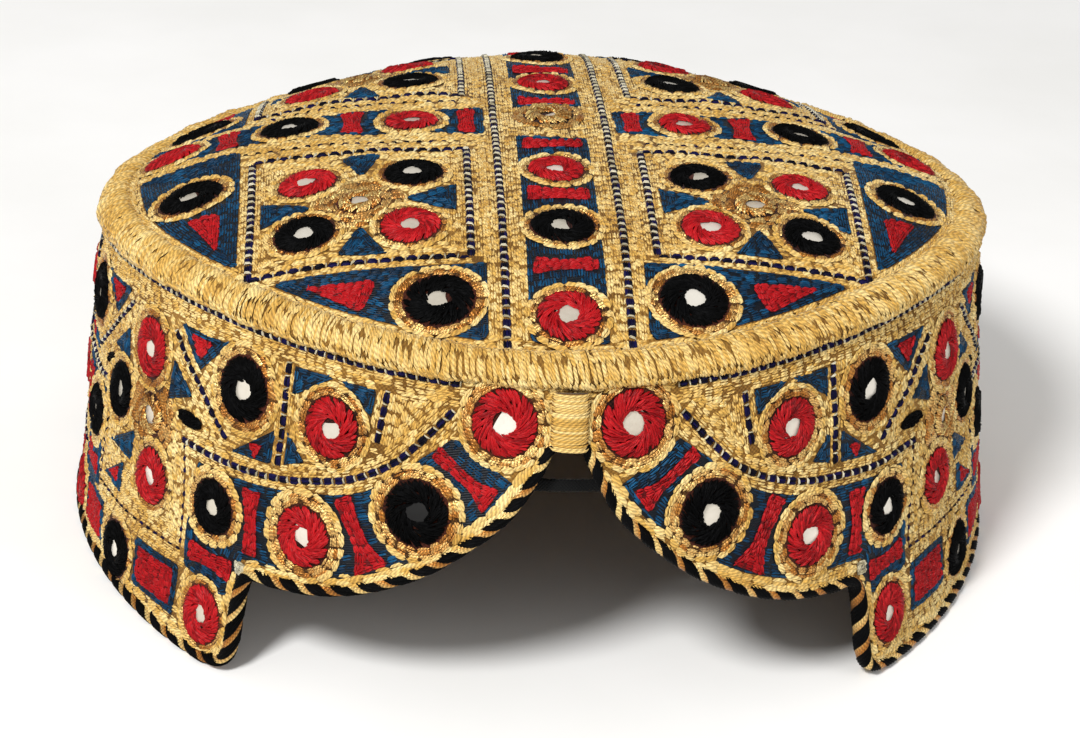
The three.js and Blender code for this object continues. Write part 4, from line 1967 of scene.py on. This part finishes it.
@dataclass(frozen=True)
class NotchTie:
    """The flat tape across the arch, sewn behind the two lobes."""

    half_length: float = 11.0
    low: float = 46.9
    high: float = 49.0
    stand_off: float = -3.25
    thickness: float = 0.95
    columns: int = 60
    sides: int = 16

    def build(self, finish: Material) -> None:
        """Makes the tape with soft edges and a slight sag.

        Args:
            finish: The tape's finish.
        """
        turn = np.arange(self.sides) * TURN / self.sides
        up = np.sign(np.sin(turn)) * np.abs(np.sin(turn)) ** 0.45
        out = np.sign(np.cos(turn)) * np.abs(np.cos(turn)) ** 0.7
        share = np.linspace(-1, 1, self.columns)[:, None]
        sag = 0.25 * (1 - share**2) + 0.04 * np.sin(share * 40)
        height = (self.low + self.high) / 2 - sag + up * (self.high - self.low) / 2
        off = self.stand_off - self.thickness / 2 + out * self.thickness / 2
        points = CAP.band_point(share * self.half_length / EDGE.radius + 0 * turn, height, off + 0 * share)
        faces = grid_faces(self.columns, self.sides, closed_columns=True)
        ring = np.arange(self.sides)
        caps = np.stack([ring, ring[::-1] + (self.columns - 1) * self.sides])
        made = new_object("notch_tie_tape", points.reshape(-1, 3), [faces, caps], finish)
        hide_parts("notch_tie")
        LOG.info("notch_tie_tape")


# ---------------------------------------------------------------- finishes


def linear(code: str) -> tuple[float, float, float, float]:
    """A six-digit sRGB colour as linear red, green, blue and alpha.

    Args:
        code: The colour as a hash sign and six digits.

    Returns:
        The four numbers.
    """
    parts = [int(code[i : i + 2], 16) / 255 for i in (1, 3, 5)]
    red, green, blue = (c / 12.92 if c <= 0.04045 else ((c + 0.055) / 1.055) ** 2.4 for c in parts)
    return red, green, blue, 1.0


def add(
    tree: Tree,
    kind: str,
    inputs: Inputs | None = None,
    stops: tuple[tuple[float, str], ...] = (),
    **settings: Any,
) -> bpy.types.Node:
    """Adds a node with its settings and links.

    Args:
        tree: The material's node tree.
        kind: The node's type name.
        inputs: Values or output sockets for its inputs.
        stops: Places and sRGB codes, where it has a colour ramp.
        settings: Its own properties.

    Returns:
        The node.
    """
    node = tree.nodes.new(kind)
    for key, value in settings.items():
        setattr(node, key, value)
    for key, value in (inputs or {}).items():
        if isinstance(value, bpy.types.NodeSocket):
            tree.links.new(value, node.inputs[key])
        else:
            node.inputs[key].default_value = value
    if stops:
        band = node.color_ramp.elements
        while len(band) < len(stops):
            band.new(0.5)
        for element, (place, code) in zip(band, stops, strict=True):
            element.position, element.color = place, linear(code)
    return node


class Finish(ABC):
    """What a piece is made of, as the eye sees it."""

    name: str

    @abstractmethod
    def surface(self, tree: Tree) -> Inputs:
        """The inputs of the surface shader."""

    def material(self) -> Material:
        """Makes the material.

        Returns:
            The material.
        """
        made = bpy.data.materials.new(self.name)
        made.use_nodes = True
        tree = made.node_tree
        tree.nodes.clear()
        shader = add(tree, "ShaderNodeBsdfPrincipled", self.surface(tree))
        add(tree, "ShaderNodeOutputMaterial", {"Surface": shader.outputs[0]})
        return made


@dataclass(frozen=True)
class ThreadFinish(Finish):
    """A sewing thread: plies that catch the light on each twist, with painted shade in the grooves between them, and
    strands of slightly different age.
    """

    name: str
    deep: str
    base: str
    light: str
    roughness: float = 0.62
    sheen: float = 0.25
    metallic: float = 0.0
    specular: float = 0.4
    ply_mm: float = 2.0
    fibres: float = 6.5
    # How much painted shade darkens the grooves between the plies.
    groove_shade: float = 0.42
    bump_mm: float = 0.12
    fade_mm: float = 14.0

    def surface(self, tree: Tree) -> Inputs:
        """The inputs of the surface shader.

        Args:
            tree: The material's node tree.

        Returns:
            The inputs.
        """
        thread = add(tree, "ShaderNodeAttribute", attribute_name="thread").outputs["Vector"]
        run, side, tone = add(tree, "ShaderNodeSeparateXYZ", {0: thread}).outputs
        own = add(tree, "ShaderNodeMath", {0: tone, 1: 61.0}, operation="MULTIPLY").outputs[0]
        slant = add(tree, "ShaderNodeMath", {0: side, 1: self.fibres, 2: own}, operation="MULTIPLY_ADD").outputs[0]
        turns = {0: run, 1: TURN / self.ply_mm, 2: slant}
        phase = add(tree, "ShaderNodeMath", turns, operation="MULTIPLY_ADD").outputs[0]
        twist = add(tree, "ShaderNodeMath", {0: phase}, operation="SINE").outputs[0]
        spot = add(tree, "ShaderNodeVectorMath", {0: thread, 1: (1.6, 4.0, 37.0)}, operation="MULTIPLY").outputs[0]
        fibre = add(tree, "ShaderNodeTexNoise", {"Vector": spot, "Scale": 1.0, "Detail": 3.0}).outputs["Fac"]
        where = add(tree, "ShaderNodeTexCoord").outputs["Object"]
        blotches = {"Vector": where, "Scale": 1 / (self.fade_mm * MM), "Detail": 3.0}
        age = add(tree, "ShaderNodeTexNoise", blotches).outputs["Fac"]
        faded = add(tree, "ShaderNodeMath", {0: age, 1: 0.6}, operation="MULTIPLY").outputs[0]
        mixed = add(tree, "ShaderNodeMath", {0: tone, 1: 0.62, 2: faded}, operation="MULTIPLY_ADD").outputs[0]
        tints = (0.18, self.deep), (0.5, self.base), (0.86, self.light)
        colour = add(tree, "ShaderNodeValToRGB", {0: mixed}, tints).outputs[0]
        # Painted shade: the colour is darkened where the ply twist dips, in the grooves between the plies.
        dark = add(tree, "ShaderNodeMapRange", {0: twist, 1: -1.0, 2: 1.0, 3: 1 - self.groove_shade, 4: 1.0}).outputs[0]
        shaded = add(tree, "ShaderNodeVectorMath", {0: colour, "Scale": dark}, operation="SCALE").outputs[0]
        height = add(tree, "ShaderNodeMath", {0: twist, 1: 0.5, 2: fibre}, operation="MULTIPLY_ADD").outputs[0]
        relief = {"Strength": 0.7, "Distance": self.bump_mm * MM, "Height": height}
        inputs = {
            "Base Color": shaded,
            "Roughness": self.roughness,
            "Metallic": self.metallic,
            "Sheen Weight": self.sheen,
            "Sheen Roughness": 0.4,
            "Normal": add(tree, "ShaderNodeBump", relief).outputs[0],
        }
        return inputs if self.metallic else inputs | {"Specular IOR Level": self.specular}


# Mercerised cotton, six strands: pale gold with a soft shine and honey-coloured gaps of painted shade.
GOLD_COTTON = ThreadFinish(
    name="mercerised_cotton_gold",
    deep="#A06C20",
    base="#DCAE54",
    light="#FBE09A",
    roughness=0.6,
    sheen=0.12,
    specular=0.25,
    ply_mm=1.1,
    fibres=3.2,
    groove_shade=0.46,
)
# Gilt strip wound on a core: it glints copper and pale gold from one stitch to the next.
ZARI = ThreadFinish(
    "zari_gilt_strip", "#4A240E", "#C27E30", "#FFDC8C", 0.33, 0.0, 0.65, groove_shade=0.52, ply_mm=0.7, fibres=2.0
)
# Untwisted rayon floss: deep, even colours with a long silky highlight.
RED_FLOSS = ThreadFinish("rayon_floss_red", "#5C0408", "#A60C14", "#C81C22", 0.45, 0.0, specular=0.16, groove_shade=0.3)
BLUE_FLOSS = ThreadFinish("rayon_floss_blue", "#020B15", "#052C48", "#0D5680", 0.42, 0.0, specular=0.18, groove_shade=0.35)
BLACK_FLOSS = ThreadFinish("rayon_floss_black", "#010101", "#040404", "#0A0A0B", 0.55, 0.0, specular=0.04, groove_shade=0.2)
NAVY_FLOSS = ThreadFinish("rayon_floss_navy", "#040308", "#080618", "#141040", 0.5, 0.0, specular=0.08, groove_shade=0.2)
# Unbleached cotton, used for the fine ticks of the ladders.
CREAM_COTTON = ThreadFinish("cotton_cream", "#8F8468", "#C4B995", "#E6DDC0", 0.65, 0.2)


@dataclass(frozen=True)
class ClothFinish(Finish):
    """A plain woven cotton: crossing threads, drawn at the pitch given so that they show, with painted shade in the low
    places of the weave.
    """

    name: str
    dark: str
    light: str
    pitch_mm: float = 0.8
    roughness: float = 0.85
    wear_mm: float = 11.0

    def surface(self, tree: Tree) -> Inputs:
        """The inputs of the surface shader.

        Args:
            tree: The material's node tree.

        Returns:
            The inputs.
        """
        where = add(tree, "ShaderNodeTexCoord").outputs["Object"]
        scale = TURN / (self.pitch_mm * MM)
        part = add(tree, "ShaderNodeSeparateXYZ", {0: where}).outputs
        around = add(tree, "ShaderNodeMath", {0: part[1], 1: part[0]}, operation="ARCTAN2").outputs[0]
        waves = []
        for run, rate in ((around, scale * CAP.outline.mean * MM), (part[2], scale)):
            turned = add(tree, "ShaderNodeMath", {0: run, 1: rate}, operation="MULTIPLY").outputs[0]
            waves.append(add(tree, "ShaderNodeMath", {0: turned}, operation="SINE").outputs[0])
        weave = add(tree, "ShaderNodeMath", dict(enumerate(waves)), operation="MULTIPLY").outputs[0]
        blotches = {"Vector": where, "Scale": 1 / (self.wear_mm * MM), "Detail": 5.0}
        wear = add(tree, "ShaderNodeTexNoise", blotches).outputs["Fac"]
        # Painted shade: the weave that drives the bump makes the colour darker in its low places and lighter on its
        # crossings.
        blend = add(tree, "ShaderNodeMath", {0: weave, 1: 0.16, 2: wear}, operation="MULTIPLY_ADD").outputs[0]
        relief = {"Strength": 0.6, "Distance": 0.12 * MM, "Height": weave}
        return {
            "Base Color": add(tree, "ShaderNodeValToRGB", {0: blend}, ((0.3, self.dark), (0.7, self.light))).outputs[0],
            "Roughness": self.roughness,
            "Specular IOR Level": 0.1,
            "Sheen Weight": 0.05,
            "Normal": add(tree, "ShaderNodeBump", relief).outputs[0],
        }


# Cotton drill in an old-gold dye, darker than the gold threads: the slivers of it that show between the rows are
# painted shade there.
GROUND_CLOTH = ClothFinish("cotton_drill_ochre", "#5C3E18", "#8C662C")
# Unbleached backing cotton, browned by use: the inner face and the cut edges.
BACKING_CLOTH = ClothFinish("cotton_backing_brown", "#57483A", "#7C6A55")
# Maroon cotton under the rounds: the dark specks it makes between them are painted shade.
RING_GROUND = ClothFinish("cotton_maroon", "#1C0A08", "#4A2214")
# The same drill made dark under the rounds: the thin dark lines it shows between the gold rounds are painted shade.
ROUND_GROUND = ClothFinish("cotton_drill_dark_for_shade", "#24140A", "#563816")
# Black cotton tape, close and matt.
BLACK_TAPE = ClothFinish("cotton_tape_black", "#050505", "#101010", 0.6, 0.8)
# Black cotton cord, a little browned: the dark between the edging's yarns.
BLACK_CORE = ClothFinish("cotton_cord_black", "#060504", "#14100C", 0.6, 0.85)


@dataclass(frozen=True)
class MirrorFinish(Finish):
    """Silvered blown glass, cut by hand: each piece has its own tint and a faintly uneven face."""

    name: str = "silvered_glass"
    dark: str = "#0C0B0A"
    mid: str = "#C4BBAA"
    light: str = "#E6E0D4"
    roughness: float = 0.3
    wave_mm: float = 1.1

    def surface(self, tree: Tree) -> Inputs:
        """The inputs of the surface shader.

        Args:
            tree: The material's node tree.

        Returns:
            The inputs.
        """
        tone = add(tree, "ShaderNodeAttribute", attribute_name="tone").outputs["Fac"]
        where = add(tree, "ShaderNodeTexCoord").outputs["Object"]
        ripples = {"Vector": where, "Scale": 1 / (self.wave_mm * MM), "Detail": 2.0}
        wave = add(tree, "ShaderNodeTexNoise", ripples).outputs["Fac"]
        shade = add(tree, "ShaderNodeMath", {0: wave, 1: 0.25, 2: tone}, operation="MULTIPLY_ADD").outputs[0]
        tints = (0.3, self.dark), (0.5, self.mid), (1.0, self.light)
        relief = {"Strength": 0.3, "Distance": 0.05 * MM, "Height": wave}
        return {
            "Base Color": add(tree, "ShaderNodeValToRGB", {0: shade}, tints).outputs[0],
            "Metallic": 0.4,
            "Roughness": self.roughness,
            "Normal": add(tree, "ShaderNodeBump", relief).outputs[0],
        }


@dataclass(frozen=True)
class FloorFinish(Finish):
    """Matt white studio paper: even, with a trace of tooth."""

    name: str = "studio_paper_white"
    low: str = "#F0EFEC"
    high: str = "#F7F6F4"
    tooth_mm: float = 70.0

    def surface(self, tree: Tree) -> Inputs:
        """The inputs of the surface shader.

        Args:
            tree: The material's node tree.

        Returns:
            The inputs.
        """
        where = add(tree, "ShaderNodeTexCoord").outputs["Object"]
        grain = {"Vector": where, "Scale": 1 / (self.tooth_mm * MM), "Detail": 4.0}
        tooth = add(tree, "ShaderNodeTexNoise", grain).outputs["Fac"]
        tints = (0.3, self.low), (0.7, self.high)
        return {"Base Color": add(tree, "ShaderNodeValToRGB", {0: tooth}, tints).outputs[0], "Roughness": 0.9}


# ---------------------------------------------------------------- stage


@dataclass(frozen=True)
class Stage:
    """The floor, the light and the camera, which takes the photograph's place, tilt and lens."""

    floor_size: float = 16.0
    target: tuple[float, float, float] = (0.686, -3.46, 27.119)
    azimuth: float = math.radians(-4.24)
    elevation: float = math.radians(26.804)
    roll: float = math.radians(2.945)
    distance: float = 541.265
    focal_px: float = 2604.494
    frame_px: float = 1080.0
    sensor_mm: float = 36.0
    world: float = 0.5

    def floor(self) -> None:
        """Lays the floor."""
        half = self.floor_size / 2 / MM
        points = np.array([(-half, -half, 0), (half, -half, 0), (half, half, 0), (-half, half, 0)], float)
        made = new_object("floor", points, [np.array([[0, 1, 2, 3]])], FloorFinish().material())
        made.parent = None
        del made["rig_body"]

    def light(self, name: str, place: tuple[float, float, float], size: float, power: float) -> None:
        """Hangs a soft area light that points at the cap.

        Args:
            name: Its name.
            place: Where it hangs.
            size: Its width.
            power: Its power in watts.
        """
        data = bpy.data.lights.new(name, "AREA")
        data.shape, data.size, data.energy = "DISK", size, power
        lamp = bpy.data.objects.new(name, data)
        bpy.context.scene.collection.objects.link(lamp)
        lamp.location = place
        lamp.rotation_euler = (Vector((0, 0, 0.03)) - Vector(place)).to_track_quat("-Z", "Y").to_euler()

    def camera(self) -> None:
        """Sets up the camera."""
        level = math.cos(self.elevation)
        back = Vector((math.sin(self.azimuth) * level, -math.cos(self.azimuth) * level, math.sin(self.elevation)))
        right = (-back).cross(Vector((0, 0, 1))).normalized()
        up = right.cross(-back)
        turned_right = math.cos(self.roll) * right + math.sin(self.roll) * up
        turned_up = -math.sin(self.roll) * right + math.cos(self.roll) * up
        axes = Matrix((turned_right, turned_up, back)).transposed()
        data = bpy.data.cameras.new("camera")
        data.sensor_width = self.sensor_mm
        data.lens = self.focal_px / self.frame_px * self.sensor_mm
        data.clip_start, data.clip_end = 0.01, 50
        made = bpy.data.objects.new("camera", data)
        bpy.context.scene.collection.objects.link(made)
        made.matrix_world = Matrix.Translation((Vector(self.target) + back * self.distance) * MM) @ axes.to_4x4()
        bpy.context.scene.camera = made

    def build(self) -> None:
        """Makes the whole stage."""
        self.camera()
        self.floor()
        world = bpy.data.worlds.new("studio")
        world.use_nodes = True
        world.node_tree.nodes["Background"].inputs[0].default_value = (1, 1, 1, 1)
        world.node_tree.nodes["Background"].inputs[1].default_value = self.world
        bpy.context.scene.world = world
        self.light("key", (-0.5, -0.75, 0.95), 0.3, 16.0)
        self.light("fill", (0.9, -0.6, 0.5), 0.6, 3.0)
        bpy.context.scene.view_settings.view_transform = "Standard"


def main() -> None:
    """Builds the cap and its stage."""
    logging.basicConfig(level=logging.INFO, format="%(name)s %(message)s")
    Stage().build()
    finishes = {
        Floss.GOLD: GOLD_COTTON.material(),
        Floss.ZARI: ZARI.material(),
        Floss.RED: RED_FLOSS.material(),
        Floss.BLACK: BLACK_FLOSS.material(),
        Floss.BLUE: BLUE_FLOSS.material(),
        Floss.NAVY: NAVY_FLOSS.material(),
        Floss.CREAM: CREAM_COTTON.material(),
    }
    ground, backing = GROUND_CLOTH.material(), BACKING_CLOTH.material()
    CrownCloth().build(ground)
    BandCloth().build(ground, backing)
    RimRoll().build(ground, finishes[Floss.GOLD])
    Edging().build(BLACK_CORE.material(), finishes[Floss.BLACK], finishes[Floss.ZARI])
    FrontTab().build(ground, finishes[Floss.GOLD])
    NotchTie().build(BLACK_TAPE.material())
    glass, ring_ground, round_ground = MirrorFinish().material(), RING_GROUND.material(), ROUND_GROUND.material()
    works = (("crown", CROWN, CrownPattern().motifs(), 3), ("band", BAND, BandPattern().motifs(), 4))
    for name, chart, motifs, seed in works:
        work = Embroidery(name, chart, motifs, seed)
        work.sew()
        work.build(finishes)
        own = [m for m in motifs if chart.own(m.middle())]
        rings = tuple(m for m in own if isinstance(m, Ring) and chart.inside(m.middle()[None])[0])
        Mirrors(name, chart, rings, seed).build(glass, ring_ground, round_ground)
        Underlay(name, chart, tuple(m for m in own if isinstance(m, Patch))).build(finishes)


if __name__ == "__main__":
    main()
